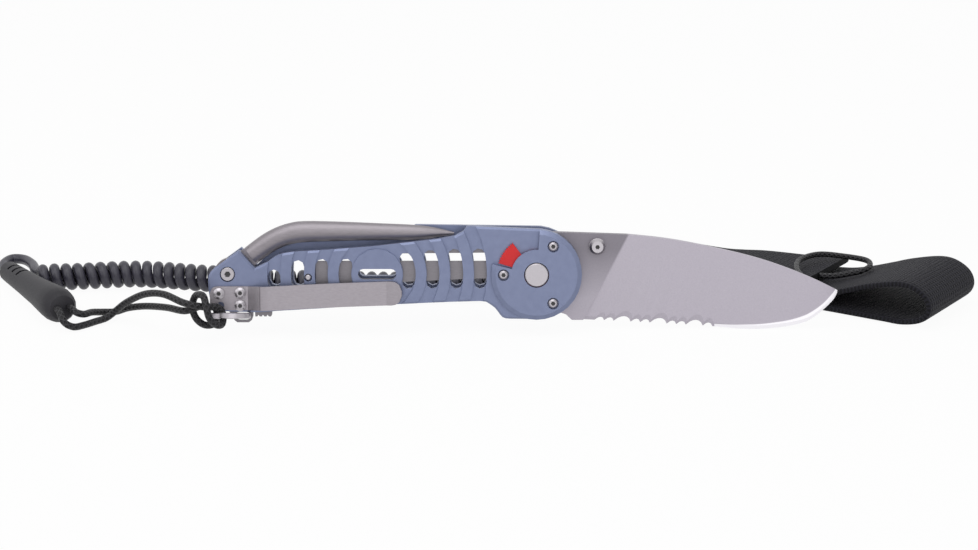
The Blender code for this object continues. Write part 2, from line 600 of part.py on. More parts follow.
def make_cover():
    """The raised pivot cover, relieved below for the lever and notched for its pad."""
    under = LEVER_TOP - FIT
    inner = PIVOT_RADIUS + FIT
    relief = LEVER_RING_RADIUS + FIT
    shape = [(inner, under), (relief, under), (relief, COVER_FOOT), (HEAD_RADIUS - 0.4, COVER_FOOT), (HEAD_RADIUS, COVER_FOOT - 0.4),
             (HEAD_RADIUS, COVER_TOP + COVER_ROOF), (HEAD_RADIUS - COVER_CHAMFER, COVER_TOP), (inner, COVER_TOP)]
    cover = add("pivot_cover", turned(shape, 32), ANODISED, KNIFE)
    wide = HEAD_RADIUS + 3
    notch = arc((0, 0), relief - FIT / 5, NOTCH_FROM, NOTCH_TO, 8)
    notch += [arc((0, 0), wide, a, a, 1)[0] for a in (NOTCH_TO, 128.0, NOTCH_FROM)]
    cut(cover, "cover_notch", plate(notch, COVER_TOP - 1, COVER_FOOT + 1))
    seat = COVER_TOP + SCREW_HEAD_RISE
    for index, place in enumerate(cover_screw_places()):
        head, shank = SCREW_HEAD_RADIUS + FIT, SCREW_SHANK_RADIUS + FIT
        stepped(cover, f"cover_seat_{index}", place, [(head, COVER_TOP - 1), (head, seat), (shank, seat), (shank, COVER_FOOT + 1)], 14)
        make_screw(f"cover_screw_{index + 1}", place, SCREW_HEAD_RADIUS, seat - FIT, -SCALE_FACE + SCREW_BITE)


def make_screw(name, place, radius, seat, end):
    """A button-head screw with a hex socket, entering along Y."""
    top = seat - SCREW_HEAD_RISE
    body = [(0, top), (radius * 0.6, top), (radius, top + SCREW_HEAD_RISE * 0.6), (radius, seat), (SCREW_SHANK_RADIUS, seat),
            (SCREW_SHANK_RADIUS, end), (0, end)]
    screw = add(name, turned(body, 14, place), BRIGHT, KNIFE)
    deep = top + SCREW_HEAD_RISE * 0.6
    cut(screw, f"{name}_socket", turned([(0, top - 1), (SOCKET_RADIUS, top - 1), (SOCKET_RADIUS, deep), (0, deep)], 6, place))


# Spike


def make_spike():
    """The marlin spike: a flat tang about the axle and a bent round shaft."""
    line = smooth(SPIKE_STATIONS, 3)
    rings = []
    for i, (x, z, radius) in enumerate(line):
        before, after = line[max(i - 1, 0)], line[min(i + 1, len(line) - 1)]
        ahead = Vector((after[0] - before[0], after[1] - before[1])).normalized()
        ring = []
        for k in range(14):
            a = 2 * math.pi * k / 14
            ring.append((x - ahead.y * radius * math.cos(a), radius * math.sin(a), z + ahead.x * radius * math.cos(a)))
        rings.append(ring)
    axle = (BUTT, 0.0, 0.0)
    spike = add("marlin_spike", lofted(rings), STEEL, KNIFE, axle)
    x, z, radius = SPIKE_STATIONS[0]
    ahead = Vector((x, z)).normalized()
    aside = Vector((-ahead.y, ahead.x)) * (radius - FIT)
    root = Vector((x, z)) + ahead * 1.2
    turn = math.degrees(math.atan2(ahead.y, ahead.x))
    neck = [tuple(root - aside), tuple(root + aside), *arc((0, 0), SPIKE_HUB_RADIUS, turn + 50, turn + 310, 14)]
    tang = add("spike_tang", plate(neck, -BLADE_THICK / 2, BLADE_THICK / 2), STEEL, KNIFE, axle)
    combine(spike, tang, "UNION")
    bore(spike, "spike_axle", (0, 0), AXLE_RADIUS + FIT, -SLOT_HALF - 1, SLOT_HALF + 1)


def make_axle():
    """The spike's axle with its head behind, and the screw that closes it in front."""
    rear = SCALE_FACE + FIT
    front = -SCALE_FACE + AXLE_HEAD_THICK + 2 * FIT
    axle = [(0, front), (AXLE_RADIUS, front), (AXLE_RADIUS, rear), (AXLE_HEAD_RADIUS + 1, rear), (AXLE_HEAD_RADIUS + 1, rear + 0.9), (0, rear + 0.9)]
    made = add("spike_axle", turned(axle, 18, (BUTT, 0)), STEEL, KNIFE)
    bore(made, "axle_thread", (BUTT, 0), SCREW_SHANK_RADIUS + FIT, front - 1, front + 4, 12)
    top = -SCALE_FACE - 0.1
    seat = top + AXLE_HEAD_THICK
    head = [(0, top), (AXLE_HEAD_RADIUS - 0.2, top), (AXLE_HEAD_RADIUS, top + 0.2), (AXLE_HEAD_RADIUS, seat), (SCREW_SHANK_RADIUS, seat),
            (SCREW_SHANK_RADIUS, seat + 3.5), (0, seat + 3.5)]
    screw = add("spike_axle_screw", turned(head, 18, (BUTT, 0)), STEEL, KNIFE)
    cut(screw, "axle_socket", turned([(0, top - 1), (1.1, top - 1), (1.1, top + 0.8), (0, top + 0.8)], 6, (BUTT, 0)))
    make_washers("spike_washer", (BUTT, 0), AXLE_RADIUS + FIT, SPIKE_WASHER_RADIUS)
    post = SLOT_HALF - FIT
    add("butt_post", turned([(0, -post), (POST_RADIUS, -post), (POST_RADIUS, post), (0, post)], 12, at_butt(POST_PLACE)), STEEL, KNIFE)


# Clip and ring


def make_clip():
    """The pocket clip: a screwed base, a step out and a sprung arm that comes back to the scale."""
    left, bend = BUTT - 5.9, BUTT + 7.2
    reach = BUTT + 59.0
    rise = CLIP_FOOT - CLIP_LIFT
    path = smooth([(left, CLIP_FOOT, -8.0), (left + 4, CLIP_FOOT, -8.0), (bend - 1.2, CLIP_FOOT, -8.0), (bend + 0.6, CLIP_FOOT - 0.3, -8.0),
                   (bend + 4.6, rise + 0.5, -7.8), (bend + 7.0, rise, -7.7), (reach - 26, rise + 1.6, -6.9), (reach - 7.0, CLIP_FOOT - 0.2, -6.4),
                   (reach - 4.5, CLIP_FOOT - 0.3, -6.35), (reach, CLIP_FOOT - 0.9, -6.3)], 4)
    rings = []
    for i, (x, y, z) in enumerate(path):
        before, after = path[max(i - 1, 0)], path[min(i + 1, len(path) - 1)]
        ahead = Vector((after[0] - before[0], after[1] - before[1])).normalized()
        out = Vector((ahead.y, -ahead.x)) * CLIP_THICK
        end = min(1.0, max(0.0, (reach - x) / 3.4))
        start = min(1.0, max(0.0, (x - left) / 2.5))
        half = CLIP_WIDTH / 2 - 3.3 * (1 - math.sqrt(1 - (1 - end) ** 2)) - 2.3 * (1 - math.sqrt(1 - (1 - start) ** 2))
        rings.append([(x, y, z - half), (x, y, z + half), (x + out.x, y + out.y, z + half), (x + out.x, y + out.y, z - half)])
    clip = add("pocket_clip", lofted(rings), STEEL, KNIFE)
    for index, place in enumerate((*CLIP_SCREWS, CLIP_SPARE_HOLE)):
        bore(clip, f"clip_hole_{index}", at_butt(place), SCREW_SHANK_RADIUS + FIT, CLIP_FACE - 1, CLIP_FOOT + 1, 12)
    for index, place in enumerate(CLIP_SCREWS):
        make_screw(f"clip_screw_{index + 1}", at_butt(place), CLIP_SCREW_RADIUS, CLIP_FACE - FIT, -SCALE_FACE + SCREW_BITE)


def ring_centre():
    """The ring's middle, in the knife's own places."""
    a = math.radians(RING_LUG_ANGLE)
    reach = RING_RADIUS * math.cos(math.radians(RING_TILT))
    y = LINER_FACE - LINER_THICK / 2 - reach * math.sin(a)
    drop = RING_RADIUS * math.sin(a) * math.sin(math.radians(RING_TILT))
    return Vector((BUTT + LUG_PLACE[0] - RING_RADIUS * math.cos(a), y, LUG_PLACE[1] + drop))


def ring_turn():
    """Lays the ring's axis upright, tilted so that its front is raised."""
    return Matrix.Rotation(math.radians(-RING_TILT), 3, "X")


def make_ring():
    """The split ring, as two turns of wire lying on each other."""
    low = [(RING_RADIUS + RING_WIRE * math.cos(a), -RING_WIRE * 0.85 + RING_WIRE * math.sin(a)) for a in (math.radians(d) for d in (150, 210, 270, 330, 30))]
    high = [(r, -h) for r, h in reversed(low)]
    bm = turned([*low, *high], 24)
    bmesh.ops.rotate(bm, verts=bm.verts, matrix=Matrix.Rotation(math.radians(90), 3, "X"))
    bmesh.ops.rotate(bm, verts=bm.verts, matrix=ring_turn())
    add("split_ring", bm, STEEL, KNIFE, ring_centre())


# Lanyard


def knife_to_stand(place):
    """A place of the leaning knife as a stand place."""
    return Matrix.Rotation(math.radians(-LEAN), 3, "X") @ Vector(place) + KNIFE_PLACE


def tube(name, points, diameter, sides, skin):
    """A round cord along points, as one open spline with closed ends."""
    curve = bpy.data.curves.new(name, "CURVE")
    curve.dimensions = "3D"
    curve.bevel_depth = diameter / 2 * MM
    curve.bevel_resolution = sides
    curve.use_fill_caps = True
    spline = curve.splines.new("POLY")
    spline.points.add(len(points) - 1)
    for spot, place in zip(spline.points, points):
        spot.co = (*(Vector(place) * MM), 1.0)
    curve.materials.append(skin)
    made = bpy.data.objects.new(name, curve)
    bpy.context.scene.collection.objects.link(made)
    made.parent = STAND
    return made


def least_gap(points, diameter, skip):
    """The least gap of a cord to itself, between points that are more than skip apart along it."""
    gap = math.inf
    for i, a in enumerate(points):
        for b in points[i + skip:]:
            gap = min(gap, (Vector(a) - Vector(b)).length - diameter)
    return gap


def hitch(points):
    """Places round the ring's front left, given along it, out from it and above it, as stand places."""
    a = math.radians(HITCH_ANGLE)
    out = Vector((math.cos(a), math.sin(a), 0))
    along = Vector((-math.sin(a), math.cos(a), 0))
    base = out * RING_RADIUS
    turn = ring_turn()
    made = []
    for t, n, k in points:
        made.append(tuple(knife_to_stand(ring_centre() + turn @ (base + along * t + out * n + Vector((0, 0, k))))))
    return made


def ferrule_axis(start, end):
    """A ferrule's ends as it lies on the floor, and its unit axis."""
    a = Vector((*start, FERRULE_PROFILE[1][1] + FIT))
    b = Vector((*end, max(r for _, r in FERRULE_PROFILE) + FIT))
    axis = (b - a).normalized()
    return a, a + axis * FERRULE_LENGTH, axis


def make_ferrule(name, start, end):
    """A moulded ferrule with strain-relief slots in its narrow end."""
    a, _, axis = ferrule_axis(start, end)
    profile = [(0.0, 0.0), *((r, y) for y, r in FERRULE_PROFILE), (0.0, FERRULE_LENGTH)]
    made = add(name, turned(profile, 18), RUBBER, STAND, a)
    for index in range(FERRULE_SLOTS):
        for side in (-1, 1):
            y = 4.0 + 5.0 * index + (2.5 if side > 0 else 0.0)
            radius = 6.0
            ring = arc((0, 0), radius, 55, 125, 3) + arc((0, 0), 2.6, 125, 55, 3)
            cut(made, f"{name}_slot_{index}_{side}", plate([(x, side * z) for x, z in ring], y, y + 1.5))
    turn = Vector((0, 1, 0)).rotation_difference(axis)
    for piece in [made, *(m.object for m in made.modifiers)]:
        piece.rotation_mode = "QUATERNION"
        piece.rotation_quaternion = turn


def make_braid():
    """The braided loop: both ends in the ferrule, its bight hitched round the ring."""
    _, end, axis = ferrule_axis(KNIFE_FERRULE_FROM, KNIFE_FERRULE_TO)
    aside = Vector((-axis.y, axis.x, 0)).normalized() * STRAND_SPREAD
    face = end + axis * FIT
    low, high = face - aside, face + aside
    lower = [high, high + axis * 2.4, (-152.6, 0.0, 5.8), (-150.4, 1.6, 4.8), (-148.4, 5.6, 4.2), (-145.4, 10.2, 2.8), (-141.2, 12.6, 2.2),
             (-136.3, 9.0, 4.7), (-129.6, 4.0, 6.9), (-121.5, -4.4, 9.1), (-114.5, -11.6, 10.2)]
    half = [(1.5, 4.4, 3.0), (1.5, 1.6, 3.0), (1.6, -1.6, 2.8), (2.1, -2.9, 0.2), (3.2, -1.9, -2.8), (4.2, 1.0, -3.0), (4.9, 3.7, -0.8),
            (5.0, 5.0, 3.0), (3.2, 5.0, 6.3)]
    wrap = hitch([*((-t, n, k) for t, n, k in half), (0.0, 5.0, 7.2), *reversed(half)])
    upper = [(-114.5, -13.5, 13.6), (-122.0, -7.0, 14.6), (-129.0, -1.0, 12.8), (-136.0, 5.0, 8.1), (-140.8, 8.6, 3.6), (-143.8, 7.4, 1.6),
             (-147.0, 4.4, 1.3), (-150.4, 0.4, 1.3), (-153.6, -2.6, 1.6), (-156.6, -3.4, 3.6), low + axis * 2.4, low]
    route = [tuple(p) for p in [*lower, *wrap, *upper]]
    points = spaced(smooth(route, 6), 2.5)
    print("braid gap to itself, mm:", round(least_gap(points, BRAID_DIAMETER, 4), 2))
    tube("lanyard_loop", points, BRAID_DIAMETER, 2, BRAID)


def make_coil():
    """The curly cord, from the knife's ferrule round a turn-back and along the coil to the strap's."""
    start, _, axis = ferrule_axis(KNIFE_FERRULE_FROM, KNIFE_FERRULE_TO)
    end, _, far_axis = ferrule_axis(STRAP_FERRULE_FROM, STRAP_FERRULE_TO)
    height = COIL_DIAMETER / 2 + FIT
    radius = (COIL_DIAMETER - CORD_DIAMETER) / 2
    axis_line = spaced(smooth([(x, y, height) for x, y in COIL_AXIS], 12), COIL_PITCH / CURL_POINTS)
    turns = []
    for i, spot in enumerate(axis_line):
        ahead = (axis_line[min(i + 1, len(axis_line) - 1)] - axis_line[max(i - 1, 0)]).normalized()
        aside = ahead.cross(Vector((0, 0, 1)))
        a = 2 * math.pi * i / CURL_POINTS
        turns.append(spot - aside * radius * math.cos(a) + Vector((0, 0, 1)) * radius * math.sin(a))
    first = start - axis * FIT
    lead = [first, first - axis * CORD_DIAMETER, (-188.2, 63.0, 4.2), (-186.0, 68.4, 4.4), (-181.4, 66.8, 4.6), (-177.4, 60.0, 4.8), (-175.0, 52.4, 4.9), turns[0]]
    last = end - far_axis * FIT
    tail = [turns[-1], turns[-1].lerp(last, 0.5), last - far_axis * CORD_DIAMETER, last]
    before = spaced(smooth([tuple(p) for p in lead], 6), 3.0)
    after = spaced(smooth([tuple(p) for p in tail], 4), 3.0)
    points = [*before[:-1], *turns, *after[1:]]
    print("coil gap to itself, mm:", round(least_gap(points, CORD_DIAMETER, CURL_POINTS - 2), 2))
    tube("coil_cord", points, CORD_DIAMETER, 1, COIL)


def strap_place(along, across, height):
    """A stand place on the strap: along it from its curl, across from its front edge, above the floor."""
    a = math.radians(STRAP_TURN)
    x = STRAP_CORNER[0] - along * math.cos(a) + across * math.sin(a)
    y = STRAP_CORNER[1] + along * math.sin(a) + across * math.cos(a)
    return (x, y, height)


def make_strap():
    """The hook-and-loop strap, folded on itself in a flat belt loop."""
    path = smooth(STRAP_PATH, 3)
    rings = []
    for i, (s, h) in enumerate(path):
        before, after = path[max(i - 1, 0)], path[min(i + 1, len(path) - 1)]
        ahead = Vector((after[0] - before[0], after[1] - before[1])).normalized()
        up = Vector((-ahead.y, ahead.x)) * STRAP_THICK / 2
        edges = [(s + up.x, h + up.y), (s - up.x, h - up.y)]
        rings.append([strap_place(edges[k][0], across, edges[k][1]) for k, across in ((0, 0), (0, STRAP_WIDTH), (1, STRAP_WIDTH), (1, 0))])
    add("belt_strap", lofted(rings), WEBBING, STAND)


def make_strap_loop():
    """The thin cord from the strap's ferrule over the strap's tail and in under its upper ply."""
    _, end, axis = ferrule_axis(STRAP_FERRULE_FROM, STRAP_FERRULE_TO)
    face = end + axis * FIT
    route = [face, face + axis * 4.0, (97.6, 18.4, 8.8), (97.0, 23.0, 10.8), (95.8, 34.0, 11.0), (98.2, 45.5, 11.0), (105.6, 52.4, 11.0), (114.4, 48.8, 11.3),
             (121.4, 42.8, 11.6), (121.8, 37.0, 11.2), (118.6, 33.4, 10.6), (114.9, 33.6, 9.6), (108.8, 34.3, 8.4), (104.1, 35.5, 8.2)]
    points = spaced(smooth([tuple(p) for p in route], 6), 4.0)
    print("strap loop gap to itself, mm:", round(least_gap(points, LOOP_DIAMETER, 3), 2))
    tube("strap_loop", points, LOOP_DIAMETER, 2, BRAID)


def centre_stand():
    """Moves the stand so that the knife's own box stands over the origin."""
    bpy.context.view_layer.update()
    graph = bpy.context.evaluated_depsgraph_get()
    corners = []
    for piece in bpy.data.objects:
        if piece.type == "MESH" and piece.parent == KNIFE and not piece.hide_render and piece.name != "split_ring":
            shown = piece.evaluated_get(graph)
            corners += [shown.matrix_world @ v.co for v in shown.to_mesh().vertices]
    low = [min(c[k] for c in corners) for k in range(3)]
    high = [max(c[k] for c in corners) for k in range(3)]
    STAND.location = (-(low[0] + high[0]) / 2, -(low[1] + high[1]) / 2, -low[2])


make_front_scale()
make_scale("rear_scale", 1)
make_liner()
make_lock_leaf()
make_butt_liner()
make_spike_leaf()
make_blade()
make_studs()
make_pivot()
make_lever()
make_cover()
make_spike()
make_axle()
make_clip()
make_ring()
make_ferrule("knife_ferrule", KNIFE_FERRULE_FROM, KNIFE_FERRULE_TO)
make_ferrule("strap_ferrule", STRAP_FERRULE_FROM, STRAP_FERRULE_TO)
make_braid()
make_coil()
make_strap()
make_strap_loop()
centre_stand()
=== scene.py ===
import math

import bmesh
import bpy
from mathutils import Matrix, Vector


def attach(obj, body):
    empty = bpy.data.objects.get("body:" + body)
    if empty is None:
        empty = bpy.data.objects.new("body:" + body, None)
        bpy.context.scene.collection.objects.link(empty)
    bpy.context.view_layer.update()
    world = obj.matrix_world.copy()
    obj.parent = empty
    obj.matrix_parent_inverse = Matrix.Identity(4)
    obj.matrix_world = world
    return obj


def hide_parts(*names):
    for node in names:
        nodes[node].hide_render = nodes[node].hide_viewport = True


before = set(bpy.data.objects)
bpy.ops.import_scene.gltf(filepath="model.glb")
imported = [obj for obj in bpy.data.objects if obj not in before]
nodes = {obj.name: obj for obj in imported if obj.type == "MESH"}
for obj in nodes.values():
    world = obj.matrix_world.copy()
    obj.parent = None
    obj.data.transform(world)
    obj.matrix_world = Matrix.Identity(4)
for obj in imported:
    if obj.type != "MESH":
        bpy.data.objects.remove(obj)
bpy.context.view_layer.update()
scene = bpy.context.scene
scene.view_settings.view_transform = "Standard"

# Camera and table
# The knife stands on a white table with its side to the camera, which looks from a little above
# through a long lens. Broad soft lamps light it, and the table keeps only a faint shadow.

LENS, SENSOR = 100, 36  # millimetres
CAMERA_PLACE = (-0.01178, -0.88126, 0.28825)
CAMERA_TILT = math.radians(73)  # up from looking straight down
SKY_AS_LIGHT, SKY_AS_SEEN = 0.42, 1.0  # the world's strength on the object, and as a background
LAMPS = (
    ("overhead_softbox", (-0.15, -0.25, 0.95), 0.9, 4.0),
    ("front_softbox", (0.25, -1.0, 0.45), 0.8, 1.6),
    ("left_softbox", (-0.9, -0.35, 0.5), 0.6, 1.2),
)  # name, place, width in metres and power in watts
LAMP_AIM = Vector((0, 0.02, 0.01))
TABLE_SIZE, TABLE_PLACE = 6, (0, 1.5, -0.0002)
TABLE_GLOW = 0.95  # the share of plain white in what is seen; the rest takes the shadow


def seen_rays(tree):
    """A socket that is one for rays from the eye, a mirror or glass, and nought for other light."""
    rays = tree.nodes.new("ShaderNodeLightPath")
    straight = tree.nodes.new("ShaderNodeMath")
    straight.operation = "MAXIMUM"
    tree.links.new(rays.outputs["Is Camera Ray"], straight.inputs[0])
    tree.links.new(rays.outputs["Is Transmission Ray"], straight.inputs[1])
    seen = tree.nodes.new("ShaderNodeMath")
    seen.operation = "MAXIMUM"
    tree.links.new(straight.outputs[0], seen.inputs[0])
    tree.links.new(rays.outputs["Is Glossy Ray"], seen.inputs[1])
    return seen.outputs[0]


camera_data = bpy.data.cameras.new("photo_camera")
camera_data.lens = LENS
camera_data.sensor_width = SENSOR
camera = bpy.data.objects.new("photo_camera", camera_data)
scene.collection.objects.link(camera)
camera.location = CAMERA_PLACE
camera.rotation_euler = (CAMERA_TILT, 0, 0)
scene.camera = camera

world = bpy.data.worlds.new("white_studio")
scene.world = world
world.use_nodes = True
tree = world.node_tree
sky = tree.nodes["Background"]
level = tree.nodes.new("ShaderNodeMapRange")
level.inputs["To Min"].default_value = SKY_AS_LIGHT
level.inputs["To Max"].default_value = SKY_AS_SEEN
tree.links.new(seen_rays(tree), level.inputs["Value"])
tree.links.new(level.outputs[0], sky.inputs["Strength"])
sky.inputs["Color"].default_value = (1, 1, 1, 1)

for lamp_name, place, width, power in LAMPS:
    lamp = bpy.data.lights.new(lamp_name, "AREA")
    lamp.size = width
    lamp.energy = power
    holder = bpy.data.objects.new(lamp_name, lamp)
    scene.collection.objects.link(holder)
    holder.location = place
    holder.rotation_euler = (LAMP_AIM - Vector(place)).to_track_quat("-Z", "Y").to_euler()

bpy.ops.object.select_all(action="DESELECT")
bpy.ops.mesh.primitive_plane_add(size=TABLE_SIZE, location=TABLE_PLACE)
table = bpy.context.object
table.name = "table"
table_paint = bpy.data.materials.new("white_table")
table_paint.use_nodes = True
tree = table_paint.node_tree
paint = tree.nodes["Principled BSDF"]
paint.inputs["Base Color"].default_value = (0.9, 0.9, 0.9, 1)
paint.inputs["Roughness"].default_value = 0.8
glow = tree.nodes.new("ShaderNodeEmission")
share = tree.nodes.new("ShaderNodeMath")
share.operation = "MULTIPLY"
share.inputs[1].default_value = TABLE_GLOW
tree.links.new(seen_rays(tree), share.inputs[0])
mixed = tree.nodes.new("ShaderNodeMixShader")
tree.links.new(share.outputs[0], mixed.inputs["Fac"])
tree.links.new(paint.outputs[0], mixed.inputs[1])
tree.links.new(glow.outputs[0], mixed.inputs[2])
tree.links.new(mixed.outputs[0], tree.nodes["Material Output"].inputs["Surface"])
table.data.materials.append(table_paint)

# Braided lanyard loop
# A doubled length of thin black braid. Both ends are moulded into the knife's ferrule, and the bight
# is hitched round the split ring at the butt.

MM = 0.001  # routes are laid out in millimetres, and the scene is in metres
TO_MM = 1000
SHIFT = Vector((0.656, -1.262, -0.039))  # the floor layout to the knife's middle, in millimetres
ROUTE_STEPS = 8  # curve points in each leg of a route
CORD_STEP = 0.0008  # metres, and so is the braid's diameter
BRAID_DIAMETER = 0.0024
BRAID_SIDES = 16
# The braid's paler colour is a painted glint on the strands' crests, where they catch the light.
BRAID_DARK, BRAID_CREST_GLINT = (0.002, 0.002, 0.003), (0.032, 0.031, 0.036)
BRAID_PLAIT = 1.9  # millimetres of cord for each crossing
BRAID_STRANDS = 4
CREST, TROUGH = 0.35, -0.6  # where a strand starts to catch the light, and where it dips from sight
LOOP_ROUTE = (
    (-155.7, 4.3, 6.3), (-154.5, 2.2, 6.4), (-152.6, 0.0, 5.8), (-150.4, 1.6, 4.8), (-148.4, 5.6, 4.2),
    (-145.4, 10.2, 2.8), (-141.2, 12.6, 2.2), (-136.3, 9.0, 4.7), (-129.6, 4.0, 6.9), (-121.5, -4.4, 9.1),
    (-114.5, -11.6, 10.2), (-109.8, -11.4, 11.6), (-107.5, -10.0, 11.1), (-104.9, -8.2, 10.3),
    (-104.1, -7.9, 7.5), (-105.5, -8.5, 4.5), (-108.5, -9.3, 4.6), (-111.1, -9.5, 7.0), (-112.3, -9.0, 10.8),
    (-111.3, -9.4, 14.4), (-109.5, -11.7, 16.0), (-107.7, -14.5, 16.0), (-106.7, -16.9, 13.3),
    (-105.7, -17.3, 9.4), (-103.8, -15.9, 6.7), (-102.0, -13.5, 6.1), (-101.8, -11.2, 8.6),
    (-103.1, -10.8, 11.1), (-105.8, -12.3, 11.8), (-108.1, -13.8, 12.3), (-114.5, -13.5, 13.6),
    (-122.0, -7.0, 14.6), (-129.0, -1.0, 12.8), (-136.0, 5.0, 8.1), (-140.8, 8.6, 3.6), (-143.8, 7.4, 1.6),
    (-147.0, 4.4, 1.3), (-150.4, 0.4, 1.3), (-153.6, -2.6, 1.6), (-156.6, -3.4, 3.6), (-158.6, 0.0, 6.4),
    (-159.7, 2.1, 6.3),
)


def through(points, steps=ROUTE_STEPS):
    """A smooth curve through points of the floor layout, as vectors in metres."""
    ends = [Vector(p) for p in (points[0], *points, points[-1])]
    made = []
    for a, b, c, d in zip(ends, ends[1:], ends[2:], ends[3:]):
        for i in range(steps):
            t = i / steps
            square, cube = 2 * a - 5 * b + 4 * c - d, 3 * b - a - 3 * c + d
            made.append((2 * b + (c - a) * t + square * t**2 + cube * t**3) / 2)
    return [(p + SHIFT) * MM for p in [*made, ends[-1]]]


def even(line, step=CORD_STEP):
    """The same line with even steps."""
    lengths = [(b - a).length for a, b in zip(line, line[1:])]
    count = max(2, round(sum(lengths) / step))
    made, leg, before = [], 0, 0.0
    for i in range(count + 1):
        along = sum(lengths) * i / count
        while leg < len(lengths) - 1 and before + lengths[leg] < along:
            before += lengths[leg]
            leg += 1
        made.append(line[leg].lerp(line[leg + 1], min(1.0, (along - before) / lengths[leg])))
    return made


def swept_cord(name, line, diameter, sides):
    """A round cord with a UV map: millimetres along it, and one turn around."""
    bm = bmesh.new()
    around = bm.loops.layers.uv.new("lay")
    ahead = (line[1] - line[0]).normalized()
    side = ahead.orthogonal().normalized()
    rings, along, gone = [], [], 0.0
    for i, spot in enumerate(line):
        ahead = (line[min(i + 1, len(line) - 1)] - line[max(i - 1, 0)]).normalized()
        side = (side - ahead * side.dot(ahead)).normalized()
        up = ahead.cross(side)
        ring = []
        for k in range(sides):
            a = 2 * math.pi * k / sides
            ring.append(bm.verts.new(spot + (side * math.cos(a) + up * math.sin(a)) * diameter / 2))
        rings.append(ring)
        gone += (spot - line[i - 1]).length if i else 0.0
        along.append(gone * TO_MM)
    for i, (a, b) in enumerate(zip(rings, rings[1:])):
        for k in range(sides):
            j = (k + 1) % sides
            face = bm.faces.new((a[k], a[j], b[j], b[k]))
            face.smooth = True
            spots = ((along[i], k), (along[i], k + 1), (along[i + 1], k + 1), (along[i + 1], k))
            for loop, (u, v) in zip(face.loops, spots):
                loop[around].uv = (u, v / sides)
    bm.faces.new(list(reversed(rings[0])))
    bm.faces.new(rings[-1])
    bmesh.ops.recalc_face_normals(bm, faces=bm.faces)
    mesh = bpy.data.meshes.new(name)
    bm.to_mesh(mesh)
    bm.free()
    made = bpy.data.objects.new(name, mesh)
    scene.collection.objects.link(made)
    return made


def braid_material(name, dark, light, plait, strands):
    """Crossing strands on the cord's own map, raised, with a painted glint that makes their crests paler."""
    made = bpy.data.materials.new(name)
    made.use_nodes = True
    n, link = made.node_tree.nodes, made.node_tree.links.new
    shader = n["Principled BSDF"]
    lay = n.new("ShaderNodeUVMap")
    lay.uv_map = "lay"
    parts = n.new("ShaderNodeSeparateXYZ")
    link(lay.outputs[0], parts.inputs[0])
    waves = []
    for turn in (1, -1):
        along = n.new("ShaderNodeMath")
        along.operation = "MULTIPLY"
        along.inputs[1].default_value = 2 * math.pi / plait
        link(parts.outputs[0], along.inputs[0])
        both = n.new("ShaderNodeMath")
        both.operation = "MULTIPLY_ADD"
        both.inputs[1].default_value = 2 * math.pi * strands * turn
        link(parts.outputs[1], both.inputs[0])
        link(along.outputs[0], both.inputs[2])
        wave = n.new("ShaderNodeMath")
        wave.operation = "SINE"
        link(both.outputs[0], wave.inputs[0])
        waves.append(wave)
    top = n.new("ShaderNodeMath")
    top.operation = "MAXIMUM"
    link(waves[0].outputs[0], top.inputs[0])
    link(waves[1].outputs[0], top.inputs[1])
    # The pale crests are a painted glint, standing for the light the strands catch.
    shade = n.new("ShaderNodeMapRange")
    shade.inputs["From Min"].default_value = CREST
    link(top.outputs[0], shade.inputs["Value"])
    round_over = n.new("ShaderNodeMapRange")
    round_over.inputs["From Min"].default_value = TROUGH
    link(top.outputs[0], round_over.inputs["Value"])
    tint = n.new("ShaderNodeMix")
    tint.data_type = "RGBA"
    tint.inputs["A"].default_value = (*dark, 1)
    tint.inputs["B"].default_value = (*light, 1)
    link(shade.outputs[0], tint.inputs["Factor"])
    link(tint.outputs["Result"], shader.inputs["Base Color"])
    bump = n.new("ShaderNodeBump")
    bump.inputs["Strength"].default_value = 0.8
    bump.inputs["Distance"].default_value = 0.0003
    link(round_over.outputs[0], bump.inputs["Height"])
    link(bump.outputs[0], shader.inputs["Normal"])
    shader.inputs["Roughness"].default_value = 0.42
    shader.inputs["Sheen Weight"].default_value = 0.03
    shader.inputs["Specular IOR Level"].default_value = 0.3
    return made


loop_line = even(through(LOOP_ROUTE))
braid = swept_cord("lanyard_braid", loop_line, BRAID_DIAMETER, BRAID_SIDES)
braid_black = braid_material("black_braid", BRAID_DARK, BRAID_CREST_GLINT, BRAID_PLAIT, BRAID_STRANDS)
braid.data.materials.append(braid_black)
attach(braid, "handle")
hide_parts("lanyard_loop")

# Coiled cord
# A springy cord with a black plastic skin, wound into a tight curl that stretches to arm's length.
# It leaves the knife's ferrule, turns back on itself and runs behind the knife to the strap's ferrule.

COIL_CORD = 0.0036  # the cord's own diameter, in metres
COIL_SIDES = 14
COIL_PITCH = 4.1  # the curl's measures are in millimetres
COIL_MEAN_RADIUS = 3.05
COIL_HEIGHT = 5.05
CURL_STEPS = 24  # points in each turn
COIL_AXIS = ((-172.0, 44.0), (-159.7, 44.6), (-137.0, 47.6), (-113.3, 42.5), (-82.6, 36.5), (-30.0, 33.5),
             (27.0, 33.0))
AXIS_STEPS = 12
LEAD_ROUTE = ((-185.1, 54.8, 3.9), (-186.7, 57.7, 3.8), (-188.2, 63.0, 4.2), (-186.0, 68.4, 4.4),
              (-181.4, 66.8, 4.6), (-177.4, 60.0, 4.8), (-175.0, 52.4, 4.9))
TAIL_ROUTE = ((30.9, 33.8, 3.4), (31.6, 33.3, 3.8), (34.8, 32.5, 3.9))
EASE_PASSES = 20  # these ease the bends where the curl begins and ends
EASE_POINTS = 10
UP = Vector((0, 0, 1))

